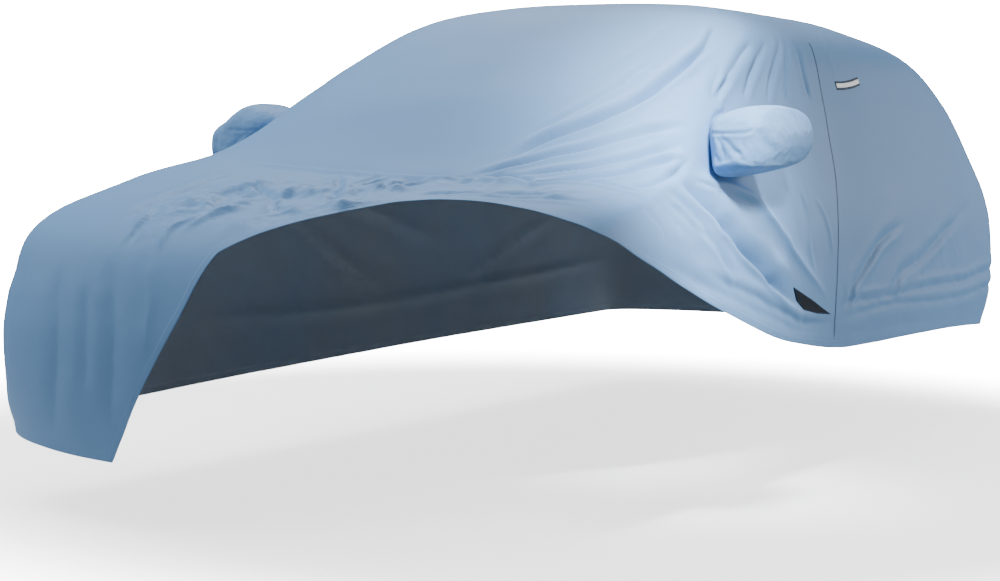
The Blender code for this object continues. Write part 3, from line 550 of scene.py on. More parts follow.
def ring_points(ring, columns):
    """Points of one ring: superellipse quarters at its ends, straight sides between them."""
    r = dict(zip(RING_COLUMNS, ring))
    reach = np.abs(columns)
    front, side, back = np.clip(reach, 0, 1), np.clip(reach - 1, 0, 1), np.clip(3 - reach, 0, 1)
    x_front, y_front = quarter_turn(r["half"], r["front_round"], front)
    x_back, y_back = quarter_turn(r["half"], r["back_round"], back)
    side_start, side_end = r["front"] + r["front_round"], r["back"] - r["back_round"]
    zones = [reach < 1, reach > 2]
    x = np.select(zones, [x_front, x_back], r["half"])
    y = np.select(zones, [r["front"] + y_front, r["back"] - y_back],
                  side_start + side * (side_end - side_start))
    z = np.select(zones, [r["z_side"] + (r["z_front"] - r["z_side"]) * (1 - front**CROSS_CAMBER),
                          r["z_side"] + (r["z_back"] - r["z_side"]) * (1 - back**CROSS_CAMBER)],
                  r["z_side"])
    z = z + r["right_lift"] * smooth_curve(*np.array(RIGHT_LIFT_SHARE).T, columns)
    return np.stack([np.sign(columns) * x, y, z], -1)


def way_round(columns):
    """Metres round the cover's widest ring from the middle of its front to each column."""
    knots = np.linspace(0, 3, 61)
    steps = np.linalg.norm(np.diff(ring_points(WIDEST_RING, knots), axis=0), axis=-1)
    return np.sign(columns) * np.interp(np.abs(columns), knots, np.append(0, np.cumsum(steps)))


def edge_curve(table, columns):
    """Value at each column of the smooth curve round the cover through a table's rows."""
    knots, values = np.array(table).T
    return smooth_curve(way_round(knots), values, way_round(columns))


def all_rings(columns):
    """The crown and every ring at the given columns, the crown first and the hem last."""
    rings = np.stack([np.broadcast_to(CROWN, (*columns.shape, 3))]
                     + [ring_points(ring, columns) for ring in RINGS])
    rings[-1, ..., 2] = edge_curve(HEM_HEIGHTS, columns)
    return rings


def paced_knots():
    """The fall at which the drape passes each ring, and the metres from crown to hem."""
    steps = np.linalg.norm(np.diff(all_rings(KNOT_COLUMNS), axis=0), axis=-1).mean(axis=1)
    return np.concatenate(([0.0], np.cumsum(steps))) / steps.sum(), float(steps.sum())


FALL_KNOTS, FALL_METRES = paced_knots()


def taut(columns, falls):
    """Points of the cover without folds: down each column, a cubic through the rings."""
    columns = wrapped(columns)
    columns, falls = np.broadcast_arrays(columns, falls)
    rings = all_rings(columns)
    slopes = np.gradient(rings, FALL_KNOTS, axis=0)
    span, weights = cubic_parts(FALL_KNOTS, falls)
    a, b, c, d = (weight[..., None] for weight in weights)
    pick = span[None, ..., None]
    here, here_slope = (np.take_along_axis(t, pick, axis=0)[0] for t in (rings, slopes))
    after, after_slope = (np.take_along_axis(t, pick + 1, axis=0)[0] for t in (rings, slopes))
    return a * here + b * here_slope + c * after + d * after_slope


def across_and_down(shape, columns, falls):
    """Central differences of a shape(columns, falls) along its columns and its falls."""
    across = shape(columns + COLUMN_NUDGE, falls) - shape(columns - COLUMN_NUDGE, falls)
    down = shape(columns, falls + FALL_NUDGE) - shape(columns, falls - FALL_NUDGE)
    return across / (2 * COLUMN_NUDGE), down / (2 * FALL_NUDGE)


def facing_out(across, down):
    """Unit normals out of the cover, from its slopes per column and down its fall. Where columns
    run together on the roof, the cloth is level across its fall, and at the crown it faces up."""
    fall = np.linalg.norm(down, axis=-1, keepdims=True)
    level = np.array((0.0, 0.0, 1.0)) * fall ** 2 - down * down[..., 2:]
    level /= np.maximum(np.linalg.norm(level, axis=-1, keepdims=True), 1e-12)
    normals = np.cross(down, across)
    length = np.linalg.norm(normals, axis=-1, keepdims=True)
    trust = ease(length / np.maximum(fall * CLOSE_COLUMNS, 1e-12) - 1)
    normals = trust * normals / np.maximum(length, 1e-12) + (1 - trust) * level
    length = np.linalg.norm(normals, axis=-1, keepdims=True)
    return np.where(length > 1e-6, normals / np.maximum(length, 1e-6), (0.0, 0.0, 1.0))


def lowest_fall(columns):
    """Fall of the cloth's edge at each column: smooth along each run of the cut edge."""
    columns = wrapped(columns)
    starts = [run[0][0] for run in CUT_EDGE[1:]]
    which = np.searchsorted(starts, columns, side="right")
    return np.minimum(np.choose(which, [edge_curve(run, columns) for run in CUT_EDGE]), 1.0)


def edge_stretch(columns):
    """How much longer the way down the cloth to its edge is than the straight way, by column."""
    ahead, behind = wrapped(columns + COLUMN_NUDGE), wrapped(columns - COLUMN_NUDGE)
    rise = FALL_METRES * (lowest_fall(ahead) - lowest_fall(behind))
    return np.hypot(1, rise / (way_round(ahead) - way_round(behind)))


def bump_curve(gap):
    """exp(-gap squared): 1 in the middle, almost nothing past two widths."""
    return np.exp(-gap * gap)


def crease_curve(gap):
    """exp of minus the drop times (sqrt(gap^2 + round^2) - round): a narrow, slightly round
    bottom whose sides run out slowly."""
    return np.exp(-CREASE_DROP * (np.sqrt(gap * gap + CREASE_ROUND**2) - CREASE_ROUND))


def ease(share):
    """3t^2 - 2t^3 of a share held between 0 and 1."""
    share = np.clip(share, 0, 1)
    return share * share * (3 - 2 * share)


def on_panel(points, normals, panel):
    """Places of points on a panel, and how squarely each faces it, from 0 to 1."""
    first, second, facing = np.array(PANELS[panel], float)
    places = np.stack([points @ first, points @ second], -1)
    return places, np.clip(normals @ facing / PANEL_FADE, 0, 1)


def nearest_on_route(at, route):
    """For each place: its distance from a route, positive on the left of it, and the share of the
    route passed there."""
    nearest = np.full(len(at), np.inf)
    signed, share = np.zeros(len(at)), np.zeros(len(at))
    for step, (start, end) in enumerate(zip(route[:-1], route[1:])):
        along = end - start
        along_share = np.clip(((at - start) @ along) / (along @ along), 0, 1)
        gap = at - start - along_share[:, None] * along
        distance = np.hypot(gap[:, 0], gap[:, 1])
        left = np.sign(along[0] * gap[:, 1] - along[1] * gap[:, 0])
        closer = distance < nearest
        nearest = np.where(closer, distance, nearest)
        signed = np.where(closer, distance * left, signed)
        share = np.where(closer, (step + along_share) / (len(route) - 1), share)
    return signed, share


def fold_offset(at, seen, fold):
    """How far a fold moves points out: in at its crease, out at the ridges beside it, wandering
    and uneven along its way, and faded at its ends."""
    f = dict(zip(FOLD_COLUMNS, fold))
    corners = np.array(f["route"])
    steps = np.linspace(0, len(corners) - 1, ROUTE_STEPS + 1)
    route = smooth_curve(np.arange(float(len(corners))), corners, steps)
    length = np.linalg.norm(np.diff(route, axis=0), axis=1).sum()
    margin = FOLD_REACH * max(f["widths"])
    near = (seen > 0) & np.all((at > route.min(0) - margin) & (at < route.max(0) + margin), axis=-1)
    moved = np.zeros(near.shape)
    if not near.any():
        return moved
    signed, share = nearest_on_route(at[near], route)
    along = 2 * math.pi * share * length
    start = 40 * corners[0].sum()
    signed = signed + WANDER * np.sin(along / WANDER_LENGTH + start) * bump_curve(signed / margin)
    gap = signed / np.where(signed > 0, *f["widths"])
    fade = ease(np.minimum(share, 1 - share) / FOLD_FADE)
    fade *= 1 + UNEVEN_DEPTH * np.sin(along / UNEVEN_LENGTH + 2 * start)
    left, right = f["ridges"]
    shape = (left * bump_curve((gap - RIDGE_PLACE) / RIDGE_WIDTH)
             + right * bump_curve((gap + RIDGE_PLACE) / RIDGE_WIDTH)
             - f["depth"] * crease_curve(gap))
    moved[near] = fade * seen[near] * shape
    return moved


def crumple_mask(panels):
    """How crumpled the cloth is at each point: the strongest of a few soft ovals on its panels."""
    mask = 0.0
    for row in CRUMPLES:
        c = dict(zip(CRUMPLE_COLUMNS, row))
        at, seen = panels[c["panel"]]
        gap = at - c["centre"]
        turn = math.radians(c["turn"])
        u = (gap[..., 0] * math.cos(turn) + gap[..., 1] * math.sin(turn)) / c["radii"][0]
        v = (gap[..., 1] * math.cos(turn) - gap[..., 0] * math.sin(turn)) / c["radii"][1]
        mask = np.maximum(mask, c["weight"] * seen * ease(CRUMPLE_RISE * (1 - np.hypot(u, v))))
    return mask


def scatter(first, second, start):
    """A share from 0 to 1 that looks random, from two whole numbers: the fraction of a large
    sine."""
    a, b, c = SCATTER_PACES
    value = SCATTER_HEIGHT * np.sin(a * first + b * second + c * start)
    return value - np.floor(value)


def facet_height(u, v, start):
    """Twice the squared distance to the nearest of one scattered spot in each unit cell, less
    its mean: shallow pits that meet at sharp crests, as crumpled film has."""
    nearest = np.full(u.shape, 9.0)
    for step_u in (-1, 0, 1):
        for step_v in (-1, 0, 1):
            cell_u, cell_v = np.floor(u) + step_u, np.floor(v) + step_v
            spot_u = cell_u + scatter(cell_u, cell_v, start)
            spot_v = cell_v + scatter(cell_v, cell_u, start + 0.37)
            nearest = np.minimum(nearest, (u - spot_u) ** 2 + (v - spot_v) ** 2)
    return 2 * nearest - FACET_MEAN


def crumple_height(points, facets):
    """The sum of facets of each given size on a plane that leans with the cloth, bent by slow
    waves."""
    u, v = (points[..., axis] + lean * points[..., 2] for axis, lean in enumerate(FACET_LEANS))
    angle = math.radians(FACET_TURN)
    waves = [tall * np.sin(pace * at + start)
             for (tall, pace, start), at in zip(FACET_WAVES, (v, u))]
    across = u * math.cos(angle) + v * math.sin(angle) + waves[0]
    along = v * math.cos(angle) - u * math.sin(angle) + waves[1]
    return sum(tall * facet_height(across / wide, along / long, start)
               for wide, long, tall, start in facets)


def uneven_height(points):
    """A sum of slow sines in space: the slight unevenness of all hanging cloth."""
    height = np.zeros(points.shape[:-1])
    for wavelength, way, tall, start in UNEVEN_WAVES:
        height += tall * np.sin(2 * math.pi * (points @ np.array(way)) / wavelength + start)
    return height


def hem_height(up):
    """Profile of the turned hem by metres up from its edge: a low step, a stitch groove, a round
    lower edge."""
    sizes = bpy.context.scene.cover_sizes
    step = ease((sizes.hem_width + HEM_STEP / 2 - up) / HEM_STEP)
    groove = GROOVE_SHARE * bump_curve((up - HEM_SEAM) / GROOVE_WIDTH)
    round_edge = EDGE_SHARE * (1 - ease(up / EDGE_ROUND))
    return sizes.hem_raise * (step - groove - round_edge)


def surface(columns, falls):
    """Points of the cloth's outside: the taut drape moved out by its folds, crumples and hem."""
    columns, falls = np.broadcast_arrays(np.asarray(columns, float), np.asarray(falls, float))
    points = taut(columns, falls)
    across, down = across_and_down(taut, columns, falls)
    normals = facing_out(across, down)
    panels = {name: on_panel(points, normals, name) for name in DRAPE_PANELS}
    offset = sum(fold_offset(*panels[fold[0]], fold) for fold in FOLDS)
    up = (lowest_fall(columns) - falls) * np.linalg.norm(down, axis=-1)
    mask = bpy.context.scene.cover_sizes.crumple * crumple_mask(panels) * ease(up / HEM_CALM)
    loose = mask > 0
    offset[loose] += mask[loose] * crumple_height(points[loose], FACETS)
    offset += uneven_height(points) * ease(falls / CROWN_CALM)
    offset += hem_height(up / edge_stretch(columns))
    return points + normals * offset[..., None]


def surface_normals(columns, falls):
    """Unit normals of the folded cloth, by central differences."""
    return facing_out(*across_and_down(surface, columns, falls))


# ==== places on the cloth =======================================================================
def find_places(points, side):
    """Columns and falls where the taut drape's side passes given (y, z), by Newton's method."""
    columns, falls = np.meshgrid(np.linspace(*SEARCH_COLUMNS) * side, np.linspace(*SEARCH_FALLS))
    grid = taut(columns, falls)[..., 1:].reshape(-1, 2)
    target = np.asarray(points, float).reshape(-1, 2)
    nearest = np.array([np.argmin(((grid - point) ** 2).sum(1)) for point in target])
    column, fall = columns.reshape(-1)[nearest], falls.reshape(-1)[nearest]
    for _ in range(SEARCH_ROUNDS):
        miss = target - taut(column, fall)[..., 1:]
        across, down = across_and_down(taut, column, fall)
        jacobian = np.stack([across[..., 1:], down[..., 1:]], -1)
        step = np.linalg.solve(jacobian, miss[..., None])[..., 0]
        column = column + np.clip(step[..., 0], -SEARCH_STEP, SEARCH_STEP)
        fall = fall + np.clip(step[..., 1], -SEARCH_STEP, SEARCH_STEP)
    shape = np.asarray(points).shape[:-1]
    return column.reshape(shape), fall.reshape(shape)


def smooth_route(route, count):
    """Points of the smooth curve through a route's points, and the metres along it."""
    route = np.array(route, float)
    at = np.linspace(0, len(route) - 1, count)
    line = smooth_curve(np.arange(float(len(route))), route, at)
    steps = np.linalg.norm(np.diff(line, axis=0), axis=-1)
    return line, np.concatenate(([0.0], np.cumsum(steps)))


def even_route(route, spacing):
    """Points at even spacing along the smooth curve through a route's points, and its way."""
    line, length = smooth_route(route, ROUTE_POINTS)
    at = np.linspace(0, length[-1], max(2, int(round(length[-1] / spacing)) + 1))
    even = np.stack([np.interp(at, length, line[:, axis]) for axis in range(line.shape[1])], -1)
    way = np.gradient(even, axis=0)
    return even, way / np.linalg.norm(way, axis=-1, keepdims=True)


class ZipLine:
    """The zip's column at each fall, and how open the slit is there."""

    def __init__(self):
        line, _ = smooth_route(ZIP_ROUTE, ZIP_POINTS)
        self.columns, self.falls = find_places(line, 1)

    def column(self, falls):
        """The zip's column at each fall, by straight runs between its points."""
        return np.interp(falls, self.falls, self.columns)

    def opening(self, falls):
        """1 along the zip, 0 past its ends, eased at both."""
        ends = ZIP_END / FALL_METRES
        return ease((falls - self.falls[0]) / ends) * ease((self.falls[-1] - falls) / ends)


# ==== meshes ====================================================================================
def grid_quads(rows, columns, wrap=False):
    """Corner numbers of a grid's faces; with wrap, its last column joins its first."""
    row = np.arange(rows - 1)[:, None]
    column = np.arange(columns if wrap else columns - 1)[None, :]
    beside = (column + 1) % columns
    return np.stack([row * columns + column, (row + 1) * columns + column,
                     (row + 1) * columns + beside, row * columns + beside], -1).reshape(-1, 4)


def disc_faces(rings, sides):
    """Faces of that many rings round a middle vertex, which is the first."""
    column = np.arange(sides)
    fan = np.stack([np.zeros(sides, int), 1 + column, 1 + (column + 1) % sides], -1)
    return fan.tolist() + (grid_quads(rings, sides, wrap=True) + 1).tolist()


def mesh_object(name, points, faces, materials, indices=None):
    """A new object with its place in its mesh, in the part's own frame."""
    mesh = bpy.data.meshes.new(name)
    mesh.from_pydata((points - ORIGIN).tolist(), [], faces)
    for material in materials:
        mesh.materials.append(material)
    if indices is not None:
        mesh.polygons.foreach_set("material_index", np.asarray(indices, np.int32))
    mesh.shade_smooth()
    piece = bpy.data.objects.new(name, mesh)
    bpy.context.scene.collection.objects.link(piece)
    return piece


def set_uv(piece, places, name="cloth"):
    """Gives each vertex of a piece its place in a UV map, in metres."""
    mesh = piece.data
    layer = mesh.uv_layers.new(name=name)
    corner = np.empty(len(mesh.loops), np.int32)
    mesh.loops.foreach_get("vertex_index", corner)
    layer.data.foreach_set("uv", places[corner].astype(np.float32).reshape(-1))


def set_attribute(piece, name, values):
    """Gives each vertex of a piece its own number for its material to read."""
    layer = piece.data.attributes.new(name, "FLOAT", "POINT")
    layer.data.foreach_set("value", np.asarray(values, np.float32))


def add_wall(piece, thickness):
    """Gives a piece's surface a wall, inwards from it."""
    wall = piece.modifiers.new("wall", "SOLIDIFY")
    wall.thickness = thickness
    wall.offset = -1


def finish_piece(piece, slot, *nodes):
    """Fixes a piece to the part and hides the nodes it stands for. Its slot is not used."""
    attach(piece, "root")
    if nodes:
        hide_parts(*nodes)
    return piece


def patch_places(patch, zip_line):
    """Columns and falls of a patch's grid. Its first and last columns are its borders, and its
    rows are sparse on the roof, even below it, and set in metres up from the edge at the hem."""
    roof = np.linspace(0, ROOF_SHARE, ROOF_ROWS, endpoint=False)
    shares = np.concatenate([roof, np.linspace(ROOF_SHARE, 1, DROP_ROWS)])[:, None]
    across = np.linspace(0, 1, patch["count"])[None, :]
    falls = np.broadcast_to(np.append(shares, np.ones(len(HEM_ROWS)))[:, None],
                            (len(shares) + len(HEM_ROWS), patch["count"]))
    for _ in range(PLACE_ROUNDS):
        borders = [zip_line.column(falls[:, edge]) if border == ZIP else
                   np.full(len(falls), float(border))
                   for border, edge in ((patch["start"], 0), (patch["end"], -1))]
        start, end = (border[:, None] for border in borders)
        columns = start + (end - start) * across
        low = lowest_fall(columns)
        down = across_and_down(taut, columns, low)[1]
        metres = np.linalg.norm(down, axis=-1) / edge_stretch(columns)
        main = (low - HEM_TOP / metres)[:len(shares)] * shares
        hem = low[len(shares):] - np.array(HEM_ROWS)[:, None] / metres[len(shares):]
        falls = np.concatenate([main, hem])
    half_slit = 0.5 * bpy.context.scene.cover_sizes.slit
    pace = np.linalg.norm(across_and_down(taut, columns, falls)[0], axis=-1)
    for border, edge, side in ((patch["start"], 0, 1), (patch["end"], -1, -1)):
        if border == ZIP:
            shift = half_slit * zip_line.opening(falls[:, edge]) / np.maximum(pace[:, edge], 0.1)
            columns[:, edge] += side * shift
            beside = 1 if edge == 0 else -2
            columns[:, beside] += 0.5 * side * shift
    return columns, falls


def one_pole(grid):
    """A grid's vertices in order, with its first row, where all columns meet, as one vertex."""
    return np.concatenate([grid[:1, 0], grid[1:].reshape(-1, *grid.shape[2:])])


def pole_faces(rows, columns, base, inside):
    """Faces of a grid whose first row is one vertex. inside turns them round."""
    column = np.arange(columns - 1)
    fan = np.stack([np.zeros_like(column), 1 + column, 2 + column], -1) + base
    quads = grid_quads(rows - 1, columns) + 1 + base
    faces = [fan.tolist(), quads.tolist()]
    return [face[::-1] if inside else face for part in faces for face in part]


def rim_faces(outer, inner):
    """Triangles that join a fine border to one with every second of its vertices."""
    a, b, c, i, j = outer[0:-2:2], outer[1:-1:2], outer[2::2], inner[:-1], inner[1:]
    corners = [np.stack(three, -1) for three in ((a, b, i), (b, c, j), (b, j, i))]
    return np.concatenate(corners).tolist()


def chord_excess(points, normals):
    """How far the cloth between every second row and column sinks below a straight run."""
    sink = np.zeros(points.shape[:2])
    for axis in (0, 1):
        middle = np.roll(points, -1, axis) + np.roll(points, 1, axis)
        drop = ((0.5 * middle - points) * normals).sum(-1)
        np.moveaxis(drop, axis, 0)[[0, -1]] = 0
        sink = np.maximum(sink, drop)
    wide = sink.copy()
    for rows in (-1, 0, 1):
        for columns in (-1, 0, 1):
            wide = np.maximum(wide, np.roll(sink, (rows, columns), (0, 1)))
    return wide


def patch_normals(points, columns, falls):
    """Unit normals from each vertex's neighbours; on the patch's sides, from the cloth just beside
    them, so that two patches agree there."""
    across = np.gradient(points, axis=1) / np.gradient(columns, axis=1)[..., None]
    for edge in (0, -1):
        after, before = (surface(columns[:, edge] + nudge, falls[:, edge])
                         for nudge in (COLUMN_NUDGE, -COLUMN_NUDGE))
        across[:, edge] = (after - before) / (2 * COLUMN_NUDGE)
    normals = facing_out(across, np.gradient(points, axis=0))
    normals[0] = (0, 0, 1)
    return normals


def both_faces(outer, inner):
    """Values of a patch's vertices: all of its outside's, then its inside's."""
    return np.concatenate([one_pole(outer), one_pole(inner)])


def patch_faces(rows, count):
    """Faces of a patch's outside, inside and rim. The inside has every second row and column."""
    inner_rows, inner_count = (rows + 1) // 2, (count + 1) // 2
    base = 1 + (rows - 1) * count
    number = 1 + np.arange((rows - 1) * count).reshape(rows - 1, count)
    inner_number = 1 + base + np.arange((inner_rows - 1) * inner_count
                                        ).reshape(inner_rows - 1, inner_count)
    rims = []
    for edge, turn in ((0, False), (-1, True)):
        rim = rim_faces(np.append(0, number[:, edge]), np.append(base, inner_number[:, edge]))
        rims += [face[::-1] if turn else face for face in rim]
    rims += rim_faces(number[-1], inner_number[-1])
    return (pole_faces(rows, count, 0, False),
            pole_faces(inner_rows, inner_count, base, True), rims)


def patch_uv(points):
    """Metres along each row from its middle, and down each column from the crown."""
    rows, count = points.shape[:2]
    along = np.linalg.norm(np.diff(points, axis=1), axis=-1)
    down = np.linalg.norm(np.diff(points, axis=0), axis=-1)
    u = np.concatenate([np.zeros((rows, 1)), np.cumsum(along, axis=1)], axis=1)
    u -= u[:, count // 2:count // 2 + 1]
    v = np.concatenate([np.zeros((1, count)), np.cumsum(down, axis=0)])
    return np.stack([u, v], -1)


def cloth_patch(patch, zip_line, cloth, lining):
    """One patch of the sheet: a fine outside, a coarser inside, and a rim all round."""
    columns, falls = patch_places(patch, zip_line)
    points = surface(columns, falls)
    points[0] = CROWN
    normals = patch_normals(points, columns, falls)
    wall = bpy.context.scene.cover_sizes.cloth + chord_excess(points, normals)
    inner = (points - normals * wall[..., None])[::2, ::2]
    outside, inside, rims = patch_faces(*falls.shape)
    indices = np.repeat([0, 1, 0], [len(outside), len(inside), len(rims)])
    piece = mesh_object(patch["name"], both_faces(points, inner), outside + inside + rims,
                        [cloth, lining], indices)
    uv = patch_uv(points)
    set_uv(piece, both_faces(uv, uv[::2, ::2]))
    mask = crumple_mask({name: on_panel(points, normals, name) for name in DRAPE_PANELS})
    set_attribute(piece, "crumple", both_faces(mask, mask[::2, ::2]))
    smooth = both_faces(normals, -normals[::2, ::2])
    piece.data.normals_split_custom_set_from_vertices(smooth.tolist())
    finish_piece(piece, "coated_cloth", "cover_body")
    return piece


# ==== materials =================================================================================
def place(tree, kind, inputs=None, **settings):
    """A new node with its settings, and its inputs set to values or linked to sockets."""
    node = tree.nodes.new(kind)
    for name, value in settings.items():
        setattr(node, name, value)
    for name, value in (inputs or {}).items():
        if isinstance(value, bpy.types.NodeSocket):
            tree.links.new(value, node.inputs[name])
        else:
            node.inputs[name].default_value = value
    return node


def new_group(name, inputs, outputs):
    """An empty node group with named sockets."""
    group = bpy.data.node_groups.new(name, "ShaderNodeTree")
    for label, kind, value in inputs:
        socket = group.interface.new_socket(name=label, in_out="INPUT", socket_type=kind)
        if value is not None:
            socket.default_value = value
    for label, kind in outputs:
        group.interface.new_socket(name=label, in_out="OUTPUT", socket_type=kind)
    return group, group.nodes.new("NodeGroupInput"), group.nodes.new("NodeGroupOutput")


def math_node(tree, operation, first, second=0.0):
    """The output of a new math node with those two inputs."""
    node = place(tree, "ShaderNodeMath", {0: first, 1: second}, operation=operation)
    return node.outputs[0]


def weave_group():
    """Plain weave: sin(pi u / pitch) times sin(pi v / pitch), so threads pass over and under."""
    group, start, end = new_group("woven threads",
                                  [("Place", "NodeSocketVector", None),
                                   ("Threads", "NodeSocketFloat", 1600.0)],
                                  [("Height", "NodeSocketFloat")])
    scaled = place(group, "ShaderNodeVectorMath",
                   {0: start.outputs["Place"], "Scale": start.outputs["Threads"]},
                   operation="SCALE")
    parts = place(group, "ShaderNodeSeparateXYZ", {0: scaled.outputs[0]})
    waves = [math_node(group, "SINE", math_node(group, "MULTIPLY", parts.outputs[axis], math.pi))
             for axis in (0, 1)]
    both = math_node(group, "MULTIPLY", *waves)
    height = math_node(group, "MULTIPLY_ADD", both, 0.5)
    height.node.inputs[2].default_value = 0.5
    group.links.new(height, end.inputs["Height"])
    return group


def crease_group():
    """Fine creases: the crests between small pits, whose place is bent by a slower noise."""
    group, start, end = new_group("fine creases",
                                  [("Place", "NodeSocketVector", None),
                                   ("Scale", "NodeSocketFloat", 30.0),
                                   ("Bend", "NodeSocketFloat", 0.04)],
                                  [("Height", "NodeSocketFloat")])
    slow = place(group, "ShaderNodeTexNoise",
                 {"Vector": start.outputs["Place"], "Scale": 5.0, "Detail": 2.0})
    centred = place(group, "ShaderNodeVectorMath",
                    {0: slow.outputs["Color"], 1: (0.5, 0.5, 0.5)}, operation="SUBTRACT")
    bend = place(group, "ShaderNodeVectorMath",
                 {0: centred.outputs[0], "Scale": start.outputs["Bend"]}, operation="SCALE")
    bent = place(group, "ShaderNodeVectorMath",
                 {0: start.outputs["Place"], 1: bend.outputs[0]}, operation="ADD")
    pits = place(group, "ShaderNodeTexVoronoi",
                 {"Vector": bent.outputs[0], "Scale": start.outputs["Scale"], "Detail": 1.0,
                  "Roughness": 0.5})
    group.links.new(pits.outputs["Distance"], end.inputs["Height"])
    return group


def tone_group():
    """Two tones of a colour, mixed by soft cloudy noise."""
    group, start, end = new_group("uneven tone",
                                  [("Place", "NodeSocketVector", None),
                                   ("Scale", "NodeSocketFloat", 2.0),
                                   ("Colour", "NodeSocketColor", None),
                                   ("Pale colour", "NodeSocketColor", None),
                                   ("Share", "NodeSocketFloat", 0.35)],
                                  [("Colour", "NodeSocketColor"), ("Mask", "NodeSocketFloat")])
    clouds = place(group, "ShaderNodeTexNoise",
                   {"Vector": start.outputs["Place"], "Scale": start.outputs["Scale"],
                    "Detail": 4.0, "Roughness": 0.55})
    spread = place(group, "ShaderNodeMapRange",
                   {"Value": clouds.outputs["Fac"], "From Min": 0.35, "From Max": 0.75})
    mask = math_node(group, "MULTIPLY", spread.outputs["Result"], start.outputs["Share"])
    mix = place(group, "ShaderNodeMix", {"Factor": mask, 6: start.outputs["Colour"],
                                         7: start.outputs["Pale colour"]}, data_type="RGBA")
    group.links.new(mix.outputs[2], end.inputs["Colour"])
    group.links.new(spread.outputs["Result"], end.inputs["Mask"])
    return group


def shared_group(maker):
    """The node group of that maker, built once."""
    built = bpy.data.node_groups.get({weave_group: "woven threads", crease_group: "fine creases",
                                      tone_group: "uneven tone"}[maker])
    return built or maker()


def new_material(name):
    """A new material, its node tree and its shader."""
    material = bpy.data.materials.new(name)
    material.use_nodes = True
    return material, material.node_tree, material.node_tree.nodes["Principled BSDF"]


def opaque(colour):
    """A colour with a full alpha."""
    return (*colour, 1.0)


def woven_material(name, colour, pale, roughness, threads, thread_depth, sheen=0.0):
    """A woven cloth: two tones, threads in its bump, slightly uneven roughness."""
    material, tree, shader = new_material(name)
    coordinates = place(tree, "ShaderNodeTexCoord")
    tone = place(tree, "ShaderNodeGroup", node_tree=shared_group(tone_group))
    tree.links.new(coordinates.outputs["Object"], tone.inputs["Place"])
    tone.inputs["Colour"].default_value = opaque(colour)
    tone.inputs["Pale colour"].default_value = opaque(pale)
    weave = place(tree, "ShaderNodeGroup", node_tree=shared_group(weave_group))
    weave.inputs["Threads"].default_value = threads
    uv = place(tree, "ShaderNodeUVMap", uv_map="cloth")
    tree.links.new(uv.outputs["UV"], weave.inputs["Place"])
    bump = place(tree, "ShaderNodeBump", {"Height": weave.outputs["Height"],
                                          "Distance": thread_depth, "Strength": 1.0})
    rough = place(tree, "ShaderNodeMapRange", {"Value": tone.outputs["Mask"],
                                               "To Min": roughness,
                                               "To Max": roughness + ROUGHNESS_SPREAD})
    tree.links.new(tone.outputs["Colour"], shader.inputs["Base Color"])
    tree.links.new(rough.outputs["Result"], shader.inputs["Roughness"])
    tree.links.new(bump.outputs["Normal"], shader.inputs["Normal"])
    shader.inputs["Sheen Weight"].default_value = sheen
    return material, tree, shader, bump, coordinates


def coated_cloth():
    """The cover's coated taffeta: satin, with film-like creases where it is crumpled."""
    colours = bpy.context.scene.cover_colours
    threads = 1 / bpy.context.scene.cover_sizes.weave_pitch
    material, tree, shader, weave, coordinates = woven_material(
        "coated cloth", colours.cloth, colours.cloth_pale, CLOTH_ROUGHNESS, threads,
        CLOTH_THREAD_DEPTH)
    mask = place(tree, "ShaderNodeAttribute", attribute_name="crumple")
    fine = place(tree, "ShaderNodeGroup", node_tree=shared_group(crease_group))
    tree.links.new(coordinates.outputs["Object"], fine.inputs["Place"])
    fine.inputs["Scale"].default_value = CREASE_SCALE
    lift = math_node(tree, "MULTIPLY_ADD", mask.outputs["Fac"], CREASE_LOOSE)
    lift.node.inputs[2].default_value = CREASE_PLAIN
    height = math_node(tree, "MULTIPLY", fine.outputs["Height"], lift)
    creases = place(tree, "ShaderNodeBump", {"Height": height, "Distance": CREASE_HEIGHT,
                                             "Normal": weave.outputs["Normal"]})
    tree.links.new(creases.outputs["Normal"], shader.inputs["Normal"])
    shader.inputs["Specular IOR Level"].default_value = CLOTH_SPECULAR
    return material


def lining_cloth():
    """The soft backing of the coated cloth, on its inside."""
    colours = bpy.context.scene.cover_colours
    return woven_material("soft lining", colours.lining, colours.cloth_pale, LINING_ROUGHNESS,
                          LINING_THREADS, LINING_DEPTH, sheen=LINING_SHEEN)[0]


def plain_woven(name, colour):
    """A woven cloth whose second tone is the first one half as pale again."""
    threads, roughness, depth, specular = WOVEN[name]
    pale = [min(1.0, WOVEN_PALE * part + 0.004) for part in colour]
    material, _, shader, _, _ = woven_material(name, colour, pale, roughness, threads, depth)
    shader.inputs["Specular IOR Level"].default_value = specular
    return material


def moulded_plastic(name, colour):
    """A plain matte finish in two close tones."""
    material, tree, shader = new_material(name)
    coordinates = place(tree, "ShaderNodeTexCoord")
    tone = place(tree, "ShaderNodeGroup", node_tree=shared_group(tone_group))
    tree.links.new(coordinates.outputs["Object"], tone.inputs["Place"])
    tone.inputs["Scale"].default_value = MOULDED_SCALE
    tone.inputs["Colour"].default_value = opaque(colour)
    pale = [min(1.0, MOULDED_PALE * part) for part in colour]
    tone.inputs["Pale colour"].default_value = opaque(pale)
    tree.links.new(tone.outputs["Colour"], shader.inputs["Base Color"])
    shader.inputs["Roughness"].default_value = MOULDED_ROUGHNESS
    return material


# ==== operators =================================================================================
class CoverOperator:
    """What every operator here shares."""
    bl_options = {"REGISTER", "UNDO"}


class COVER_OT_cloth(CoverOperator, bpy.types.Operator):
    """Make the draped sheet, in five patches that meet exactly"""
    bl_idname = "cover.cloth"
    bl_label = "Cloth"

    def execute(self, context):
        zip_line = ZipLine()
        cloth, lining = coated_cloth(), lining_cloth()
        for row in PATCHES:
            cloth_patch(dict(zip(PATCH_COLUMNS, row)), zip_line, cloth, lining)
        return {"FINISHED"}


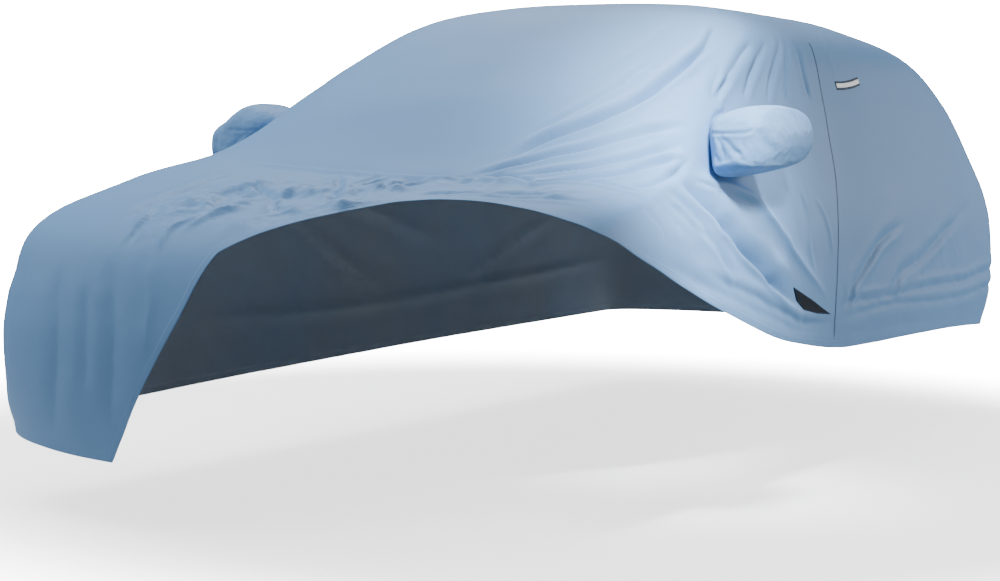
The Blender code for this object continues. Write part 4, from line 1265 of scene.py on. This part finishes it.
def pocket_outline(y_front, y_back, z_low, z_high):
    """A squarish oval in (y, z), |y/half|^p + |z/half|^p = 1, in even steps round it. The power is
    higher in the quarter at the front below, which makes that corner boxy."""
    angle = np.linspace(0, 2 * math.pi, 1441)
    boxy = (np.cos(angle) < 0) & (np.sin(angle) < 0)
    power = 2 / np.where(boxy, POCKET_CORNER, POCKET_SQUARENESS)
    y = np.sign(np.cos(angle)) * np.abs(np.cos(angle)) ** power * (y_back - y_front) / 2
    z = np.sign(np.sin(angle)) * np.abs(np.sin(angle)) ** power * (z_high - z_low) / 2
    length = np.append(0, np.cumsum(np.hypot(np.diff(y), np.diff(z))))
    at = np.linspace(0, length[-1], POCKET_SIDES, endpoint=False)
    return np.stack([(y_front + y_back) / 2 + np.interp(at, length, y),
                     (z_low + z_high) / 2 + np.interp(at, length, z)], -1)


def pocket_swell(points, normals, pocket):
    """How far a pocket's cloth stands out: its round lobe, its creases and its crumples."""
    mirror = (pocket["side"], 1, 1)
    at, seen = on_panel(points * mirror, normals * mirror, "pocket")
    at = at - pocket["shift"]
    swell = sum(fold_offset(at, seen, fold) for fold in POCKET_FOLDS)
    centre, radii, height = POCKET_LOBE
    swell += height * seen * bump_curve(np.linalg.norm((at - centre) / radii, axis=-1))
    mask = 0.0
    for centre, radii, weight in POCKET_CRUMPLES:
        oval = bump_curve(np.linalg.norm((at - centre) / radii, axis=-1))
        mask = np.maximum(mask, weight * seen * oval)
    return pocket["swell"] * (swell + mask * crumple_height(points, POCKET_FACETS))


def pocket_grid(pocket):
    """Rows by sides: sections from the root to the tip, then a slightly bulging cap."""
    side = pocket["side"]
    table = np.array(pocket["sections"])
    reaches = np.linspace(0, 1, POCKET_REACHES)
    sections = smooth_curve(table[:, 0], table[:, 1:], reaches)
    outlines = np.stack([pocket_outline(*section) for section in sections])
    columns, falls = find_places(outlines[0], side)
    start = surface(columns, falls)[:, 0] + side * POCKET_START
    x = start + reaches[:, None] * (side * pocket["tip"] - start)
    body = np.concatenate([x[..., None], outlines], -1)
    middle = body[-1].mean(axis=0)
    share = np.linspace(1, 0, POCKET_CAP_ROWS + 1)[1:, None, None]
    cap = middle + (body[-1] - middle) * share
    cap[..., 0] += side * POCKET_CAP_BULGE * (1 - share[..., 0] ** 2)
    grid = np.concatenate([body, cap])
    around = np.roll(grid, -1, axis=1) - np.roll(grid, 1, axis=1)
    normals = side * np.cross(around, np.gradient(grid, axis=0))
    normals[-1] = (side, 0, 0)
    normals /= np.linalg.norm(normals, axis=-1, keepdims=True)
    from_root = ease(np.arange(len(grid)) / (POCKET_CALM * POCKET_REACHES))[:, None]
    swell = from_root * pocket_swell(grid, normals, pocket)
    swell[-1] = swell[-1].mean()
    return grid + normals * swell[..., None]


class COVER_OT_pockets(CoverOperator, bpy.types.Operator):
    """Make the two mirror pockets"""
    bl_idname = "cover.pockets"
    bl_label = "Mirror pockets"

    def execute(self, context):
        cloth = bpy.data.materials["coated cloth"]
        for name, pocket in POCKETS.items():
            grid = pocket_grid(pocket)
            rows, sides = grid.shape[:2]
            points = np.concatenate([grid[:-1].reshape(-1, 3), grid[-1:, 0]])
            quads = grid_quads(rows - 1, sides, wrap=True)
            last = (rows - 2) * sides
            column = np.arange(sides)
            fan = np.stack([last + column, np.full(sides, len(points) - 1),
                            last + (column + 1) % sides], -1)
            faces = quads.tolist() + fan.tolist()
            if pocket["side"] > 0:
                faces = [face[::-1] for face in faces]
            piece = mesh_object(name + "_cloth", points, faces, [cloth])
            set_uv(piece, points[:, 1:])
            set_attribute(piece, "crumple", np.full(len(points), POCKET_CREASED))
            add_wall(piece, context.scene.cover_sizes.cloth)
            finish_piece(piece, "coated_cloth", name)
        return {"FINISHED"}


def ribbon_piece(name, material, route, width, levels):
    """A flat ribbon laid along a route in (y, z), between two levels above the cloth."""
    line, way = even_route(route, RIBBON_SPACING)
    across = np.stack([-way[:, 1], way[:, 0]], -1)
    shares = np.linspace(-0.5, 0.5, RIBBON_STEPS)
    low, high = levels
    flat = line[:, None, :] + across[:, None, :] * shares[None, :, None] * width
    columns, falls = find_places(flat, 1)
    points, normals = surface(columns, falls), surface_normals(columns, falls)
    points = points + normals * high
    piece = mesh_object(name, points.reshape(-1, 3), grid_quads(*points.shape[:2]).tolist(),
                        [material])
    u, v = np.meshgrid(shares * width, np.arange(len(line)) * RIBBON_SPACING)
    set_uv(piece, np.stack([u, v], -1).reshape(-1, 2))
    if (np.cross(points[1, 0] - points[0, 0], points[0, 1] - points[0, 0]) @ normals[0, 0]) < 0:
        piece.data.flip_normals()
    add_wall(piece, high - low)
    return piece


def box_faces(count):
    """Faces of that many boxes, whose corners are numbered 4a + 2b + c along their three ways."""
    one = np.array(((0, 1, 3, 2), (4, 6, 7, 5), (0, 4, 5, 1), (2, 3, 7, 6), (0, 2, 6, 4),
                    (1, 5, 7, 3)))
    return (one[None] + 8 * np.arange(count)[:, None, None]).reshape(-1, 4).tolist()


def zip_teeth(pitch):
    """Corners of small boxes along the zip, in turn a little to its left and to its right."""
    line, way = even_route(ZIP_ROUTE, pitch)
    turn = np.where(np.arange(len(line)) % 2, 1.0, -1.0)[:, None]
    flat = line + np.stack([-way[:, 1], way[:, 0]], -1) * turn * TOOTH_OFFSET
    columns, falls = find_places(flat, 1)
    normals = surface_normals(columns, falls)
    middles = surface(columns, falls) + normals * TOOTH_HEIGHT
    along = np.gradient(middles, axis=0)
    along /= np.linalg.norm(along, axis=-1, keepdims=True)
    ways = (np.cross(along, normals), along, normals)
    across, ahead, up = (way[:, None] * half for way, half in zip(ways, TOOTH_HALVES))
    signs = np.array([(a, b, c) for a in (-1, 1) for b in (-1, 1) for c in (-1, 1)])[None]
    corners = (middles[:, None] + signs[..., :1] * across + signs[..., 1:2] * ahead
               + signs[..., 2:] * up)
    return corners.reshape(-1, 3)


class COVER_OT_zip(CoverOperator, bpy.types.Operator):
    """Make the zip: its tape behind the slit, and its teeth in it"""
    bl_idname = "cover.zip"
    bl_label = "Zip"

    def execute(self, context):
        sizes, colours = context.scene.cover_sizes, context.scene.cover_colours
        tape = plain_woven("zip tape", colours.tape)
        piece = ribbon_piece("zip_tape_cloth", tape, ZIP_ROUTE, sizes.tape, TAPE_LEVELS)
        finish_piece(piece, "zip_tape", "zip_tape")
        corners = zip_teeth(sizes.tooth_pitch)
        teeth = mesh_object("zip_teeth", corners, box_faces(len(corners) // 8),
                            [moulded_plastic("zip teeth", colours.teeth)])
        teeth.data.shade_flat()
        finish_piece(teeth, "zip_chain", "zip_chain")
        return {"FINISHED"}


class COVER_OT_strip(CoverOperator, bpy.types.Operator):
    """Make the reflective strip: navy webbing and the white band on it"""
    bl_idname = "cover.strip"
    bl_label = "Strip"

    def execute(self, context):
        sizes, colours = context.scene.cover_sizes, context.scene.cover_colours
        webbing = plain_woven("navy webbing", colours.webbing)
        band = plain_woven("reflector", colours.reflector)
        base = ribbon_piece("strip_webbing_cloth", webbing, STRIP_ROUTE, sizes.strip_width,
                            WEBBING_LEVELS)
        finish_piece(base, "navy_webbing", "strip_webbing")
        inner = even_route(STRIP_ROUTE, BAND_INSET)[0][1:-1]
        top = ribbon_piece("strip_reflector_band", band, inner[::4], sizes.reflector_width,
                           BAND_LEVELS)
        finish_piece(top, "reflector", "strip_reflector")
        return {"FINISHED"}


def shade_patch_outline():
    """The outline in (y, z) of the dark patch of painted shade: straight edges, each in even steps.
    """
    corners = np.array(SHADE_PATCH)
    share = np.linspace(0, 1, SHADE_PATCH_STEPS, endpoint=False)[None, :, None]
    ahead = np.roll(corners, -1, axis=0)
    return (corners[:, None] * (1 - share) + ahead[:, None] * share).reshape(-1, 2)


class COVER_OT_shade_patch(CoverOperator, bpy.types.Operator):
    """Make the dark patch at the foot of the zip: a sheet of painted shade over the fold's open
    mouth
    """
    bl_idname = "cover.gusset"
    bl_label = "Gusset"

    def execute(self, context):
        colours = context.scene.cover_colours
        # painted shade: a dark sheet laid over the open mouth of the fold, which lies in shade
        dark = plain_woven("dark coated cloth", colours.dark)
        outline = shade_patch_outline()
        middle = outline.mean(axis=0)
        shares = np.linspace(0, 1, SHADE_PATCH_RINGS + 1)[1:, None, None]
        flat = np.concatenate([middle[None], (middle + (outline - middle) * shares
                                              ).reshape(-1, 2)])
        columns, falls = find_places(flat, 1)
        normals = surface_normals(columns, falls)
        points = surface(columns, falls) + normals * SHADE_PATCH_HEIGHT
        faces = disc_faces(SHADE_PATCH_RINGS, len(outline))
        piece = mesh_object("gusset_cloth", points, faces, [dark])
        set_uv(piece, flat)
        mesh = piece.data
        mesh.update()
        if mesh.polygons[0].normal.dot(normals[0]) < 0:
            mesh.flip_normals()
        add_wall(piece, SHADE_PATCH_THICK)
        finish_piece(piece, "dark_cloth", "gusset")
        return {"FINISHED"}


def seam_lines():
    """Columns, falls and height of every seam: the hem, the zip, the strip, the dark patch of
    painted shade and the mirror pockets' roots."""
    columns = np.linspace(-3, 3, SEAM_COLUMNS)
    metres = np.linalg.norm(across_and_down(taut, columns, lowest_fall(columns))[1], axis=-1)
    falls = lowest_fall(columns) - HEM_SEAM * edge_stretch(columns) / metres
    seams = [(columns, falls, 0.0)]
    for route, out, height in ((ZIP_ROUTE, ZIP_SEAM, 0.0),
                               (STRIP_ROUTE, STRIP_SEAM, WEBBING_LEVELS[1])):
        line, way = even_route(route, SEAM_SPACING)
        across = np.stack([-way[:, 1], way[:, 0]], -1)
        seams += [(*find_places(line + across * side, 1), height) for side in (-out, out)]
    # stitches round the dark patch of painted shade
    outline = shade_patch_outline()
    inset = outline + SHADE_PATCH_SEAM * (outline.mean(axis=0) - outline)
    seams.append((*find_places(np.concatenate([inset, inset[:1]]), 1), SHADE_PATCH_HEIGHT))
    for pocket in POCKETS.values():
        y_front, y_back, z_low, z_high = pocket["sections"][0][1:]
        root = pocket_outline(y_front - POCKET_SEAM, y_back + POCKET_SEAM,
                              z_low - POCKET_SEAM, z_high + POCKET_SEAM)
        seams.append((*find_places(np.concatenate([root, root[:1]]), pocket["side"]), 0.0))
    return seams


def seam_stitches(columns, falls, height):
    """Corners of stretched octahedra laid at an even pitch along a seam on the cloth."""
    sizes = bpy.context.scene.cover_sizes
    length = np.append(0, np.cumsum(np.linalg.norm(np.diff(taut(columns, falls), axis=0),
                                                   axis=-1)))
    at = np.arange(0.5 * sizes.stitch_pitch, length[-1], sizes.stitch_pitch)
    columns, falls = np.interp(at, length, columns), np.interp(at, length, falls)
    normals = surface_normals(columns, falls)
    middles = surface(columns, falls) + normals * height
    way = np.gradient(middles, axis=0)
    way /= np.linalg.norm(way, axis=-1, keepdims=True)
    half, thick = 0.5 * sizes.stitch * way, 0.5 * sizes.thread * normals
    wide = 0.5 * sizes.thread * np.cross(normals, way)
    steps = np.stack([half, -half, thick, -thick, wide, -wide], axis=1)
    return (middles[:, None] + steps).reshape(-1, 3)


def octahedron_faces(count):
    """Faces of that many octahedra, whose corners are in pairs at the ends of three ways."""
    one = []
    for along, up, across in ((a, b, c) for a in (0, 1) for b in (2, 3) for c in (4, 5)):
        turned = (along + up + across) % 2
        one.append((along, up, across) if turned == 0 else (along, across, up))
    return (np.array(one)[None] + 6 * np.arange(count)[:, None, None]).reshape(-1, 3).tolist()


class COVER_OT_stitches(CoverOperator, bpy.types.Operator):
    """Make the stitches of every seam, as one mesh"""
    bl_idname = "cover.stitches"
    bl_label = "Stitches"

    def execute(self, context):
        corners = np.concatenate([seam_stitches(*seam) for seam in seam_lines()])
        thread = moulded_plastic("sewing thread", context.scene.cover_colours.thread)
        piece = mesh_object("stitches", corners, octahedron_faces(len(corners) // 6), [thread])
        finish_piece(piece, "coated_cloth")
        return {"FINISHED"}


def softbox(row, watts):
    """An area light that stands off its aim by azimuth, elevation and distance, and faces it."""
    box = dict(zip(LIGHT_COLUMNS, row))
    azimuth, elevation = math.radians(box["azimuth"]), math.radians(box["elevation"])
    light = bpy.data.lights.new(box["name"], "AREA")
    light.size, light.energy, light.spread = box["size"], watts, math.radians(box["spread"])
    lamp = bpy.data.objects.new(box["name"], light)
    bpy.context.scene.collection.objects.link(lamp)
    back = np.array((math.cos(elevation) * math.cos(azimuth),
                     math.cos(elevation) * math.sin(azimuth), math.sin(elevation)))
    across = np.array((-math.sin(azimuth), math.cos(azimuth), 0.0))
    up = np.cross(back, across)
    at = box["aim"] + box["distance"] * back
    lamp.matrix_world = Matrix([[across[i], up[i], back[i], at[i]] for i in range(3)]
                               + [[0, 0, 0, 1]])
    lamp.visible_camera = False


class COVER_OT_stage(CoverOperator, bpy.types.Operator):
    """Make the floor, the lights, the white background and the camera"""
    bl_idname = "cover.stage"
    bl_label = "Stage"

    def execute(self, context):
        self.camera(context)
        self.world(context)
        self.floor(context)
        for row in LIGHTS:
            softbox(row, getattr(context.scene.cover_stage, row[0]))
        return {"FINISHED"}

    def camera(self, context):
        """Looks along yaw and pitch, with the picture's frame turned by roll."""
        yaw, pitch, roll = CAMERA_YAW, CAMERA_PITCH, CAMERA_ROLL
        ahead = np.array((-math.sin(yaw) * math.cos(pitch), math.cos(yaw) * math.cos(pitch),
                          math.sin(pitch)))
        right = np.array((math.cos(yaw), math.sin(yaw), 0.0))
        up = np.cross(right, ahead)
        across = math.cos(roll) * right + math.sin(roll) * up
        upright = math.cos(roll) * up - math.sin(roll) * right
        data = bpy.data.cameras.new("camera")
        data.lens, data.sensor_width = CAMERA_LENS, CAMERA_SENSOR
        camera = bpy.data.objects.new("camera", data)
        context.scene.collection.objects.link(camera)
        camera.matrix_world = Matrix([[across[i], upright[i], -ahead[i], CAMERA_PLACE[i]]
                                      for i in range(3)] + [[0, 0, 0, 1]])
        context.scene.camera = camera

    def world(self, context):
        """White where the camera sees past the floor, a softer even light for everything else."""
        stage = context.scene.cover_stage
        world = bpy.data.worlds.new("studio")
        world.use_nodes = True
        tree = world.node_tree
        tree.nodes.clear()
        path = place(tree, "ShaderNodeLightPath")
        soft = place(tree, "ShaderNodeBackground", {"Color": SOFT_COLOUR,
                                                    "Strength": stage.ambient})
        white = place(tree, "ShaderNodeBackground", {"Color": WHITE,
                                                     "Strength": stage.background})
        mix = place(tree, "ShaderNodeMixShader", {0: path.outputs["Is Camera Ray"],
                                                  1: soft.outputs[0], 2: white.outputs[0]})
        place(tree, "ShaderNodeOutputWorld", {"Surface": mix.outputs[0]})
        context.scene.world = world

    def floor(self, context):
        """A disc that fades into the white background."""
        angle = np.linspace(0, 2 * math.pi, FLOOR_SIDES, endpoint=False)
        round_once = np.stack([np.cos(angle), np.sin(angle), np.zeros(FLOOR_SIDES)], -1)
        rings = np.array(FLOOR_RINGS)[:, None, None] * round_once
        points = np.concatenate([np.zeros((1, 3)), rings.reshape(-1, 3)]) + FLOOR_MIDDLE
        faces = disc_faces(len(FLOOR_RINGS), FLOOR_SIDES)
        material, tree, shader = new_material("pale floor")
        shader.inputs["Base Color"].default_value = opaque(context.scene.cover_colours.floor)
        shader.inputs["Roughness"].default_value = 0.9
        coordinates = place(tree, "ShaderNodeTexCoord")
        centred = place(tree, "ShaderNodeVectorMath", {0: coordinates.outputs["Object"],
                                                       1: tuple(ORIGIN - FLOOR_MIDDLE)},
                        operation="ADD")
        length = place(tree, "ShaderNodeVectorMath", {0: centred.outputs[0]},
                       operation="LENGTH")
        fade = place(tree, "ShaderNodeMapRange",
                     {"Value": length.outputs["Value"], "From Min": FLOOR_SOLID,
                      "From Max": FLOOR_GONE, "To Min": FLOOR_COVER, "To Max": 0.0},
                     interpolation_type="SMOOTHSTEP")
        tree.links.new(fade.outputs["Result"], shader.inputs["Alpha"])
        floor = mesh_object("floor", points, faces, [material])


class COVER_PT_panel(bpy.types.Panel):
    """Lists the cover's pieces, sizes and colours in the sidebar"""
    bl_idname = "COVER_PT_panel"
    bl_label = "Cover"
    bl_space_type = "VIEW_3D"
    bl_region_type = "UI"
    bl_category = "Cover"

    def draw(self, context):
        for operator in OPERATORS:
            self.layout.operator(operator.bl_idname)
        for settings in (context.scene.cover_sizes, context.scene.cover_colours,
                         context.scene.cover_stage):
            box = self.layout.box()
            for name in settings.bl_rna.properties.keys():
                if name not in ("rna_type", "name"):
                    box.prop(settings, name)


OPERATORS = (COVER_OT_cloth, COVER_OT_pockets, COVER_OT_zip, COVER_OT_strip, COVER_OT_shade_patch,
             COVER_OT_stitches, COVER_OT_stage)
SETTINGS = {"cover_sizes": CoverSizes, "cover_colours": CoverColours, "cover_stage": CoverStage}


def register():
    for settings in SETTINGS.values():
        bpy.utils.register_class(settings)
    for name, settings in SETTINGS.items():
        setattr(bpy.types.Scene, name, bpy.props.PointerProperty(type=settings))
    for thing in (*OPERATORS, COVER_PT_panel):
        bpy.utils.register_class(thing)


def unregister():
    for thing in (COVER_PT_panel, *reversed(OPERATORS)):
        bpy.utils.unregister_class(thing)
    for name, settings in SETTINGS.items():
        delattr(bpy.types.Scene, name)
        bpy.utils.unregister_class(settings)


def main():
    register()
    bpy.ops.cover.cloth()
    bpy.ops.cover.pockets()
    bpy.ops.cover.zip()
    bpy.ops.cover.strip()
    # the dark patch of painted shade at the foot of the zip
    bpy.ops.cover.gusset()
    bpy.ops.cover.stitches()
    bpy.ops.cover.stage()
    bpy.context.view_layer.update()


if __name__ == "__main__":
    main()
